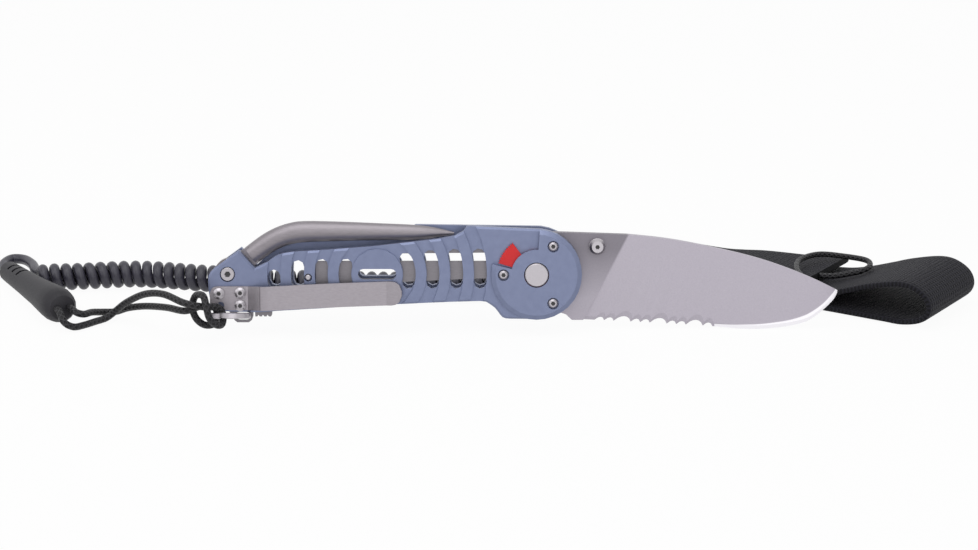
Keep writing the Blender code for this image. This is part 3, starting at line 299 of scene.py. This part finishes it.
axis_points = [(x, y, COIL_HEIGHT) for x, y in COIL_AXIS]
axis_line = even(through(axis_points, AXIS_STEPS), COIL_PITCH * MM / CURL_STEPS)
curls = []
for i, spot in enumerate(axis_line):
    ahead = (axis_line[min(i + 1, len(axis_line) - 1)] - axis_line[max(i - 1, 0)]).normalized()
    aside = ahead.cross(UP)
    a = 2 * math.pi * i / CURL_STEPS
    curls.append(spot + (UP * math.sin(a) - aside * math.cos(a)) * COIL_MEAN_RADIUS * MM)
lead_run = even(through((*LEAD_ROUTE, tuple(curls[0] * TO_MM - SHIFT))))
tail_run = even(through((tuple(curls[-1] * TO_MM - SHIFT), *TAIL_ROUTE)))
coil_line = [*lead_run[:-1], *curls, *tail_run[1:]]
last_eased = len(coil_line) - 2
for _ in range(EASE_PASSES):
    for joint in (len(lead_run) - 1, len(lead_run) + len(curls) - 2):
        for i in range(max(joint - EASE_POINTS, 1), min(joint + EASE_POINTS, last_eased) + 1):
            ease = 0.5 * (1 - abs(i - joint) / (EASE_POINTS + 1)) ** 2
            coil_line[i] = coil_line[i].lerp((coil_line[i - 1] + coil_line[i + 1]) / 2, ease)
coil = swept_cord("coil_cord_skin", coil_line, COIL_CORD, COIL_SIDES)

coil_black = bpy.data.materials.new("coil_plastic")
coil_black.use_nodes = True
tree = coil_black.node_tree
shader = tree.nodes["Principled BSDF"]
place = tree.nodes.new("ShaderNodeTexCoord")
mottle = tree.nodes.new("ShaderNodeTexNoise")
mottle.inputs["Scale"].default_value = 900
mottle.inputs["Detail"].default_value = 4
tree.links.new(place.outputs["Object"], mottle.inputs["Vector"])
dull = tree.nodes.new("ShaderNodeMapRange")
dull.inputs["To Min"].default_value = 0.3
dull.inputs["To Max"].default_value = 0.5
tree.links.new(mottle.outputs["Fac"], dull.inputs["Value"])
tree.links.new(dull.outputs[0], shader.inputs["Roughness"])
tone = tree.nodes.new("ShaderNodeMix")
tone.data_type = "RGBA"
tone.inputs["A"].default_value = (0.018, 0.017, 0.026, 1)
tone.inputs["B"].default_value = (0.056, 0.053, 0.076, 1)
tree.links.new(mottle.outputs["Fac"], tone.inputs["Factor"])
tree.links.new(tone.outputs["Result"], shader.inputs["Base Color"])
grain = tree.nodes.new("ShaderNodeBump")
grain.inputs["Strength"].default_value = 0.12
grain.inputs["Distance"].default_value = 0.0001
tree.links.new(mottle.outputs["Fac"], grain.inputs["Height"])
tree.links.new(grain.outputs[0], shader.inputs["Normal"])
coil.data.materials.append(coil_black)
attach(coil, "handle")
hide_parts("coil_cord")

# Strap cord
# A thinner braid from the strap's ferrule. It arches over the strap's tail and comes back down on
# the upper ply, where its end is sewn to the tail's edge.

STRAP_CORD_DIAMETER = 0.002
STRAP_CORD_SIDES = 14
STRAP_CORD_ROUTE = (
    (91.2, 17.2, 6.4), (95.0, 16.1, 6.6), (97.6, 18.4, 8.8), (97.0, 23.0, 10.8), (95.8, 34.0, 11.0),
    (98.2, 45.5, 11.0), (105.6, 52.4, 11.0), (114.4, 48.8, 11.3), (121.4, 42.8, 11.6), (121.8, 37.0, 11.2),
    (118.6, 33.4, 10.6), (114.9, 33.6, 9.6), (108.8, 34.3, 8.4), (104.1, 35.5, 8.2),
)

strap_line = even(through(STRAP_CORD_ROUTE))
strap_cord = swept_cord("strap_cord_braid", strap_line, STRAP_CORD_DIAMETER, STRAP_CORD_SIDES)
strap_cord.data.materials.append(braid_black)
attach(strap_cord, "handle")
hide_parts("strap_loop")

# Belt strap
# Black nylon webbing with hook-and-loop faces, folded on itself into a flat belt loop.
# The weave shows as ribs along it with rows of small dimples, and a firmer edge on both sides.

STRAP_WIDTH = 38.0  # millimetres, and so is the thickness
STRAP_THICK = 2.0
STRAP_CORNER = (129.7, 2.2)  # the near edge, where the strap leaves the floor for the belt loop
STRAP_TURN = math.radians(33)
WIDTH_SHARES = (0.0, 0.02, 0.06, 0.25, 0.5, 0.75, 0.94, 0.98, 1.0)
EDGE_FULLNESS = (0.55, 0.9, 1.0, 1.0, 1.0, 1.0, 1.0, 0.9, 0.55)  # of the thickness, at each width share
STRAP_FOLD = (
    (40.0, 8.2), (46.0, 7.3), (54.0, 6.6), (66.0, 5.9), (74.0, 5.3), (82.0, 4.3), (90.0, 3.6), (105.0, 3.5),
    (109.6, 3.4), (111.2, 2.4), (109.6, 1.3), (105.0, 1.2), (80.0, 1.2), (55.0, 1.2), (30.0, 1.2),
    (10.0, 1.2), (1.5, 1.3), (-5.4, 3.3), (-8.0, 7.2), (-6.4, 11.4), (-1.4, 14.2), (4.6, 14.4), (14.3, 12.0),
    (22.0, 9.3), (30.0, 6.6), (38.0, 4.6), (48.0, 3.7), (58.0, 3.5), (70.0, 3.5),
)  # from the corner along the strap, and up

fold = [(p * TO_MM - SHIFT).xy for p in through([(s, h, 0.0) for s, h in STRAP_FOLD])]
bm = bmesh.new()
weave = bm.loops.layers.uv.new("lay")
edge_to_edge = list(zip(WIDTH_SHARES, EDGE_FULLNESS))
rows, lengths, gone = [], [], 0.0
for i, spot in enumerate(fold):
    ahead = (fold[min(i + 1, len(fold) - 1)] - fold[max(i - 1, 0)]).normalized()
    up = Vector((-ahead.y, ahead.x)) * STRAP_THICK / 2
    gone += (spot - fold[i - 1]).length if i else 0.0
    lengths.append(gone)
    row = []
    for face_side, shares in ((1, edge_to_edge), (-1, edge_to_edge[::-1])):
        for share_across, fullness in shares:
            s, h = spot + up * face_side * fullness
            across = share_across * STRAP_WIDTH
            x = STRAP_CORNER[0] - s * math.cos(STRAP_TURN) + across * math.sin(STRAP_TURN)
            y = STRAP_CORNER[1] + s * math.sin(STRAP_TURN) + across * math.cos(STRAP_TURN)
            row.append((bm.verts.new((Vector((x, y, h)) + SHIFT) * MM), across))
    rows.append(row)
for i, (a, b) in enumerate(zip(rows, rows[1:])):
    for k in range(len(a)):
        j = (k + 1) % len(a)
        face = bm.faces.new((a[k][0], a[j][0], b[j][0], b[k][0]))
        face.smooth = True
        here, there = lengths[i], lengths[i + 1]
        spots = ((here, a[k][1]), (here, a[j][1]), (there, a[j][1]), (there, a[k][1]))
        for loop, uv in zip(face.loops, spots):
            loop[weave].uv = uv
for end in (rows[0], rows[-1]):
    half = len(end) // 2
    for k in range(half - 1):
        bm.faces.new((end[k][0], end[k + 1][0], end[-2 - k][0], end[-1 - k][0]))
bmesh.ops.recalc_face_normals(bm, faces=bm.faces)
strap_mesh = bpy.data.meshes.new("belt_strap_webbing")
bm.to_mesh(strap_mesh)
bm.free()
strap = bpy.data.objects.new("belt_strap_webbing", strap_mesh)
scene.collection.objects.link(strap)

webbing = bpy.data.materials.new("black_webbing")
webbing.use_nodes = True
n, link = webbing.node_tree.nodes, webbing.node_tree.links.new
shader = n["Principled BSDF"]
lay = n.new("ShaderNodeUVMap")
lay.uv_map = "lay"
ribs = n.new("ShaderNodeTexWave")
ribs.wave_profile = "SIN"
ribs.bands_direction = "Y"
ribs.inputs["Scale"].default_value = 0.2
ribs.inputs["Distortion"].default_value = 0.6
ribs.inputs["Detail"].default_value = 3
link(lay.outputs[0], ribs.inputs["Vector"])
yarns = n.new("ShaderNodeTexWave")
yarns.bands_direction = "X"
yarns.inputs["Scale"].default_value = 0.22
yarns.inputs["Distortion"].default_value = 0.3
link(lay.outputs[0], yarns.inputs["Vector"])
height = n.new("ShaderNodeMath")
height.operation = "MAXIMUM"
link(yarns.outputs["Fac"], height.inputs[0])
link(ribs.outputs["Fac"], height.inputs[1])
fuzz = n.new("ShaderNodeTexNoise")
fuzz.inputs["Scale"].default_value = 1.4
fuzz.inputs["Detail"].default_value = 6
link(lay.outputs[0], fuzz.inputs["Vector"])
blend = n.new("ShaderNodeMath")
blend.operation = "MULTIPLY"
link(height.outputs[0], blend.inputs[0])
link(fuzz.outputs["Fac"], blend.inputs[1])
tint = n.new("ShaderNodeMix")
tint.data_type = "RGBA"
tint.inputs["A"].default_value = (0.002, 0.002, 0.003, 1)
tint.inputs["B"].default_value = (0.027, 0.026, 0.038, 1)
link(blend.outputs[0], tint.inputs["Factor"])
link(tint.outputs["Result"], shader.inputs["Base Color"])
bump = n.new("ShaderNodeBump")
bump.inputs["Strength"].default_value = 0.7
bump.inputs["Distance"].default_value = 0.0005
link(height.outputs[0], bump.inputs["Height"])
link(bump.outputs[0], shader.inputs["Normal"])
shader.inputs["Roughness"].default_value = 0.75
shader.inputs["Sheen Weight"].default_value = 0.03
shader.inputs["Specular IOR Level"].default_value = 0.2
strap.data.materials.append(webbing)
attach(strap, "handle")
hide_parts("belt_strap")

# Ferrules
# Moulded rubber sleeves at both ends of the coil, with strain-relief slots in the narrow end.
# The skin is matt with a fine mould grain.

TONE_SPREAD = 12  # how much broader the change of tone is than the grain
SEAM_REACH = 2e-6  # joins a node's loose triangles for shading


def moulded(name, dark, light, rough_low, rough_high, scale, depth):
    """A plain moulded or blasted surface: fine grain, and a slow change of tone."""
    made = bpy.data.materials.new(name)
    made.use_nodes = True
    n, link = made.node_tree.nodes, made.node_tree.links.new
    shader = n["Principled BSDF"]
    place = n.new("ShaderNodeTexCoord")
    slow = n.new("ShaderNodeTexNoise")
    slow.inputs["Scale"].default_value = scale / TONE_SPREAD
    slow.inputs["Detail"].default_value = 3
    link(place.outputs["Object"], slow.inputs["Vector"])
    tone = n.new("ShaderNodeMix")
    tone.data_type = "RGBA"
    tone.inputs["A"].default_value = (*dark, 1)
    tone.inputs["B"].default_value = (*light, 1)
    link(slow.outputs["Fac"], tone.inputs["Factor"])
    link(tone.outputs["Result"], shader.inputs["Base Color"])
    fine = n.new("ShaderNodeTexNoise")
    fine.inputs["Scale"].default_value = scale
    fine.inputs["Detail"].default_value = 5
    link(place.outputs["Object"], fine.inputs["Vector"])
    rough = n.new("ShaderNodeMapRange")
    rough.inputs["To Min"].default_value = rough_low
    rough.inputs["To Max"].default_value = rough_high
    link(fine.outputs["Fac"], rough.inputs["Value"])
    link(rough.outputs[0], shader.inputs["Roughness"])
    bump = n.new("ShaderNodeBump")
    bump.inputs["Strength"].default_value = 0.3
    bump.inputs["Distance"].default_value = depth
    link(fine.outputs["Fac"], bump.inputs["Height"])
    link(bump.outputs[0], shader.inputs["Normal"])
    return made


def dress(material, *names, crease_angle=30):
    """Gives CAD nodes their finish, shaded round over gentle curves."""
    for name in names:
        node = nodes[name]
        node.data.materials.clear()
        node.data.materials.append(material)
        node.data.shade_smooth()
        weld = node.modifiers.new("joined", "WELD")
        weld.merge_threshold = SEAM_REACH
        crease = node.modifiers.new("creases", "EDGE_SPLIT")
        crease.split_angle = math.radians(crease_angle)


rubber = moulded("ferrule_rubber", dark=(0.01, 0.0095, 0.0125), light=(0.02, 0.0185, 0.025),
                 rough_low=0.45, rough_high=0.62, scale=2600, depth=0.00006)
rubber.node_tree.nodes["Principled BSDF"].inputs["Specular IOR Level"].default_value = 0.35
dress(rubber, "knife_ferrule", "strap_ferrule")

# Scales and pivot cover
# Machined aluminium plates, bead-blasted and anodised blue-grey. The cover is turned and screwed
# over the pivot.

anodised = moulded("blue_anodised", dark=(0.17, 0.195, 0.305), light=(0.215, 0.245, 0.37),
                   rough_low=0.36, rough_high=0.52, scale=5200, depth=0.00002)
anodised.node_tree.nodes["Principled BSDF"].inputs["Metallic"].default_value = 0.75
dress(anodised, "front_scale", "rear_scale", "pivot_cover")

# Blade
# Ground stainless steel with a stonewashed face: many short fine scratches that lie every way,
# over a satin grind that runs down from the back.


def scratched(name, base, pale, rough_low, rough_high, stretch, scale):
    """Bare metal with fine scratches, drawn out where the stretch is uneven."""
    made = bpy.data.materials.new(name)
    made.use_nodes = True
    n, link = made.node_tree.nodes, made.node_tree.links.new
    shader = n["Principled BSDF"]
    shader.inputs["Metallic"].default_value = 1.0
    place = n.new("ShaderNodeTexCoord")
    drawn = n.new("ShaderNodeMapping")
    drawn.inputs["Scale"].default_value = stretch
    link(place.outputs["Object"], drawn.inputs["Vector"])
    marks = n.new("ShaderNodeTexNoise")
    marks.inputs["Scale"].default_value = scale
    marks.inputs["Detail"].default_value = 6
    marks.inputs["Roughness"].default_value = 0.65
    link(drawn.outputs[0], marks.inputs["Vector"])
    tone = n.new("ShaderNodeMix")
    tone.data_type = "RGBA"
    tone.inputs["A"].default_value = (*base, 1)
    tone.inputs["B"].default_value = (*pale, 1)
    link(marks.outputs["Fac"], tone.inputs["Factor"])
    link(tone.outputs["Result"], shader.inputs["Base Color"])
    rough = n.new("ShaderNodeMapRange")
    rough.inputs["To Min"].default_value = rough_low
    rough.inputs["To Max"].default_value = rough_high
    link(marks.outputs["Fac"], rough.inputs["Value"])
    link(rough.outputs[0], shader.inputs["Roughness"])
    bump = n.new("ShaderNodeBump")
    bump.inputs["Strength"].default_value = 0.25
    bump.inputs["Distance"].default_value = 0.00002
    link(marks.outputs["Fac"], bump.inputs["Height"])
    link(bump.outputs[0], shader.inputs["Normal"])
    return made


PLUNGE_SLANT = 0.523  # the plunge line's run for each unit of height
PLUNGE_FOOT = 0.01853  # where the plunge line would meet the floor
PLUNGE_BLEND = 0.0004
# Painted shade on the tang's flat: darker at the back, and paler at the foot with a painted reflection.
TANG_PAINTED_SHADE, FOOT_PAINTED_SHADE = 0.5, 0.87  # of the grind's own tone, at the back and at the foot of the tang
TANG_HEIGHT, FOOT_HEIGHT = 0.0277, 0.0109  # where these two tones are reached
EDGE_LINE = ((0.065, 0.0007), (0.07506, 0.00006), (0.08416, 0.00026), (0.09396, 0.00183), (0.09916, 0.0042),
             (0.10486, 0.00932), (0.10676, 0.01247))  # the plain edge, along the knife and above the floor
EDGE_FROM, EDGE_TO = EDGE_LINE[0][0], EDGE_LINE[-1][0]
EDGE_RISE = 0.02  # the height that the edge's curve counts as one
# The bevel's pale colour is a painted highlight, standing for the light that the honed bevel catches.
BEVEL_HEIGHT = 0.0012
TIP_BEVEL_HEIGHT = 0.003  # measured straight up, so it is more where the edge is steep
BEVEL_FULL = 0.85  # the share of the height below which the bevel is at its brightest
BEVEL_PAINTED_HIGHLIGHT = (0.9, 0.88, 0.92, 1)
BLADE_CREASE = 5

stonewashed = scratched("stonewashed_steel", base=(0.36, 0.335, 0.385), pale=(0.52, 0.485, 0.545),
                        rough_low=0.4, rough_high=0.58, stretch=(1, 1, 1), scale=2400)

# The flat of the tang, behind the plunge line of the grind, has painted shade: it is darker than the grind,
# most of all towards the back, and a painted reflection makes it paler towards the foot.
n, link = stonewashed.node_tree.nodes, stonewashed.node_tree.links.new
shader = n["Principled BSDF"]
place = n.new("ShaderNodeTexCoord")
spot = n.new("ShaderNodeSeparateXYZ")
link(place.outputs["Object"], spot.inputs[0])
slanted = n.new("ShaderNodeMath")
slanted.operation = "MULTIPLY_ADD"
slanted.inputs[1].default_value = -PLUNGE_SLANT
link(spot.outputs["Z"], slanted.inputs[0])
link(spot.outputs["X"], slanted.inputs[2])
ground = n.new("ShaderNodeMapRange")
ground.inputs["From Min"].default_value = PLUNGE_FOOT - PLUNGE_BLEND
ground.inputs["From Max"].default_value = PLUNGE_FOOT + PLUNGE_BLEND
# The painted shade of the tang, by height: darkest at the back, paler towards the foot.
flat = n.new("ShaderNodeMapRange")
flat.inputs["From Min"].default_value = FOOT_HEIGHT
flat.inputs["From Max"].default_value = TANG_HEIGHT
flat.inputs["To Min"].default_value = FOOT_PAINTED_SHADE
flat.inputs["To Max"].default_value = TANG_PAINTED_SHADE
link(spot.outputs["Z"], flat.inputs["Value"])
link(flat.outputs[0], ground.inputs["To Min"])
link(slanted.outputs[0], ground.inputs["Value"])
plain = shader.inputs["Base Color"].links[0].from_socket
with_painted_tang_shade = n.new("ShaderNodeVectorMath")
with_painted_tang_shade.operation = "SCALE"
link(plain, with_painted_tang_shade.inputs[0])
link(ground.outputs[0], with_painted_tang_shade.inputs["Scale"])

# The sharpened bevel is finer ground. A narrow band along the plain edge has a painted highlight: pale
# colour that stands for the light the bevel catches.
reach = n.new("ShaderNodeMapRange")
reach.inputs["From Min"].default_value = EDGE_FROM
reach.inputs["From Max"].default_value = EDGE_TO
link(spot.outputs["X"], reach.inputs["Value"])
edge = n.new("ShaderNodeFloatCurve")
belly = edge.mapping.curves[0]
for x, z in EDGE_LINE[1:-1]:
    belly.points.new((x - EDGE_FROM) / (EDGE_TO - EDGE_FROM), z / EDGE_RISE)
belly.points[0].location = (0, EDGE_LINE[0][1] / EDGE_RISE)
belly.points[-1].location = (1, EDGE_LINE[-1][1] / EDGE_RISE)
edge.mapping.update()
link(reach.outputs[0], edge.inputs["Value"])
above = n.new("ShaderNodeMath")
above.operation = "MULTIPLY_ADD"
above.inputs[1].default_value = -EDGE_RISE
link(edge.outputs[0], above.inputs[0])
link(spot.outputs["Z"], above.inputs[2])
taller = n.new("ShaderNodeMapRange")
taller.inputs["To Min"].default_value = BEVEL_HEIGHT
taller.inputs["To Max"].default_value = TIP_BEVEL_HEIGHT
link(reach.outputs[0], taller.inputs["Value"])
into = n.new("ShaderNodeMath")
into.operation = "DIVIDE"
link(above.outputs[0], into.inputs[0])
link(taller.outputs[0], into.inputs[1])
honed = n.new("ShaderNodeMapRange")
honed.inputs["From Min"].default_value = 1.0
honed.inputs["From Max"].default_value = BEVEL_FULL
link(into.outputs[0], honed.inputs["Value"])
plain_edge = n.new("ShaderNodeMath")
plain_edge.operation = "GREATER_THAN"
plain_edge.inputs[1].default_value = EDGE_FROM
link(spot.outputs["X"], plain_edge.inputs[0])
band = n.new("ShaderNodeMath")
band.operation = "MULTIPLY"
link(honed.outputs[0], band.inputs[0])
link(plain_edge.outputs[0], band.inputs[1])
painted_bevel_highlight = n.new("ShaderNodeMix")
painted_bevel_highlight.data_type = "RGBA"
painted_bevel_highlight.inputs["B"].default_value = BEVEL_PAINTED_HIGHLIGHT
link(band.outputs[0], painted_bevel_highlight.inputs["Factor"])
link(with_painted_tang_shade.outputs[0], painted_bevel_highlight.inputs["A"])
link(painted_bevel_highlight.outputs["Result"], shader.inputs["Base Color"])
dress(stonewashed, "blade", crease_angle=BLADE_CREASE)

# Liners, leaves and clip
# Spring steel sheet, let in behind the scales, and a steel post and pin between them. The clip is
# bent from sheet too, brushed along its length and held by three screws.

satin = scratched("satin_steel", base=(0.26, 0.24, 0.262), pale=(0.41, 0.38, 0.413),
                  rough_low=0.42, rough_high=0.55, stretch=(0.25, 1, 1), scale=2600)
dress(satin, "pocket_clip")
spring_steel = scratched("spring_steel", base=(0.17, 0.16, 0.175), pale=(0.28, 0.265, 0.285),
                         rough_low=0.4, rough_high=0.55, stretch=(0.25, 1, 1), scale=2600)
dress(spring_steel, "lock_liner", "lock_leaf", "butt_liner", "butt_post", "spike_lock_leaf", "stop_pin")

# Spike and its axle
# A marlin spike forged round and bent, with a flat tang that turns on a plain steel axle. It is
# ground along its shaft.

ground_steel = scratched("ground_steel", base=(0.20, 0.185, 0.20), pale=(0.33, 0.305, 0.33),
                         rough_low=0.42, rough_high=0.55, stretch=(0.12, 1, 1), scale=3000)
dress(ground_steel, "marlin_spike", "spike_axle")

# Screws, pivot, studs and split ring
# Turned stainless hardware, polished on the heads, with hex sockets in the screws and the front stud.
# The ring is wound from polished steel wire through the lug at the butt.

polished = scratched("polished_steel", base=(0.38, 0.36, 0.385), pale=(0.5, 0.475, 0.505),
                     rough_low=0.3, rough_high=0.4, stretch=(1, 1, 1), scale=3000)
dress(polished, "cover_screw_1", "cover_screw_2", "cover_screw_3", "clip_screw_1", "clip_screw_2",
      "clip_screw_3", "pivot_pin", "liner_rivet", "thumb_stud_front", "thumb_stud_rear", "spike_axle_screw",
      "split_ring")

# Screw sockets
# The broached hex sockets look dark in the photograph, so each has a thin dark hexagon with a dished
# face on its floor. They are placed in the knife's own leaning axes, which start at the blade pivot.

PIVOT = Vector((0.004256, 0.002141, 0.019263))
LEAN = math.radians(10)
ALONG = Vector((1, 0, 0))
BACK = Vector((0, math.cos(LEAN), -math.sin(LEAN)))
RISE = Vector((0, math.sin(LEAN), math.cos(LEAN)))
BUTT = -104.3  # the spike pivot along the knife, in millimetres
COVER_SCREW_CIRCLE = 11.15
COVER_SCREW_TURNS = (60, 180, 300)
COVER_SOCKET_FLOOR = -8.69  # floors are placed along the pivot pin from the blade's middle
CLIP_SCREWS = ((-2.8, -6.3), (4.4, -6.1), (4.4, -10.4))  # along the knife from the butt, and up
CLIP_SOCKET_FLOOR = -8.94
AXLE_SOCKET_FLOOR = -6.1
STUD_PLACE = (20.6, 9.1)
STUD_SOCKET_FLOOR = -4.65
SOCKET_FILL = 0.76  # from a hexagon's middle to its corners, in millimetres
AXLE_SOCKET_FILL = 1.04
FILL_THICK = 0.05
FILL_LIFT = 0.035  # the middle of the hexagon above the socket's floor
DISH_RIM = 0.3  # the dish's sloping rim, as a share of the hexagon's radius
DISH_DEPTH = 0.03

# Each dark hexagon is painted shade: a thin sheet that stands for the shadow inside its socket.
painted_socket_shade = moulded("painted_socket_shade", dark=(0.03, 0.028, 0.03), light=(0.07, 0.066, 0.07),
                       rough_low=0.3, rough_high=0.5, scale=4000, depth=0.00002)
bpy.ops.object.select_all(action="DESELECT")
bpy.ops.mesh.primitive_cylinder_add(vertices=6, radius=1, depth=FILL_THICK)
hexagon = bpy.context.object
bpy.ops.object.mode_set(mode="EDIT")
bpy.ops.mesh.select_mode(type="FACE")
bpy.ops.mesh.select_all(action="DESELECT")
bpy.ops.object.mode_set(mode="OBJECT")
for face in hexagon.data.polygons:
    face.select = face.normal.z < -0.9  # the face that looks out of the socket
bpy.ops.object.mode_set(mode="EDIT")
bpy.ops.mesh.inset(thickness=DISH_RIM)
bpy.ops.transform.translate(value=(0, 0, DISH_DEPTH))
bpy.ops.object.mode_set(mode="OBJECT")

sockets = []
for i, degrees in enumerate(COVER_SCREW_TURNS):
    turn = math.radians(degrees)
    x, z = COVER_SCREW_CIRCLE * math.cos(turn), COVER_SCREW_CIRCLE * math.sin(turn)
    sockets.append((f"cover_socket_{i + 1}", x, z, COVER_SOCKET_FLOOR, SOCKET_FILL, "handle"))
for i, (x, z) in enumerate(CLIP_SCREWS):
    sockets.append((f"clip_socket_{i + 1}", BUTT + x, z, CLIP_SOCKET_FLOOR, SOCKET_FILL, "handle"))
sockets.append(("axle_socket", BUTT, 0.0, AXLE_SOCKET_FLOOR, AXLE_SOCKET_FILL, "handle"))
sockets.append(("stud_socket", *STUD_PLACE, STUD_SOCKET_FLOOR, SOCKET_FILL, "blade_body"))
knife_axes = Matrix((RISE, ALONG, BACK)).transposed().to_4x4()
for name, x, z, floor, radius, body in sockets:
    spot = PIVOT + (ALONG * x + BACK * (floor - FILL_LIFT) + RISE * z) * MM
    fitted = Matrix.Diagonal((radius * MM, radius * MM, MM, 1))
    mesh = hexagon.data.copy()
    mesh.name = name
    mesh.transform(Matrix.Translation(spot) @ knife_axes @ fitted)
    shade_sheet = bpy.data.objects.new(name, mesh)
    scene.collection.objects.link(shade_sheet)
    mesh.materials.append(painted_socket_shade)
    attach(shade_sheet, body)
bpy.data.objects.remove(hexagon)

# Washers
# Stamped bronze, one on each side of the blade and of the spike, dull from running against them.

bronze = scratched("washer_bronze", base=(0.36, 0.23, 0.1), pale=(0.55, 0.37, 0.17),
                   rough_low=0.3, rough_high=0.45, stretch=(1, 1, 1), scale=2600)
dress(bronze, "blade_washer_front", "blade_washer_rear", "spike_washer_front", "spike_washer_rear")

# Safety lever
# Steel plate under the pivot cover, turning on the pivot pin. It has a red coat and a toothed edge
# for the thumb.

red_coat = moulded("red_coat", dark=(0.6, 0.006, 0.009), light=(0.74, 0.01, 0.013),
                   rough_low=0.34, rough_high=0.46, scale=3200, depth=0.00003)
dress(red_coat, "safety_lever")
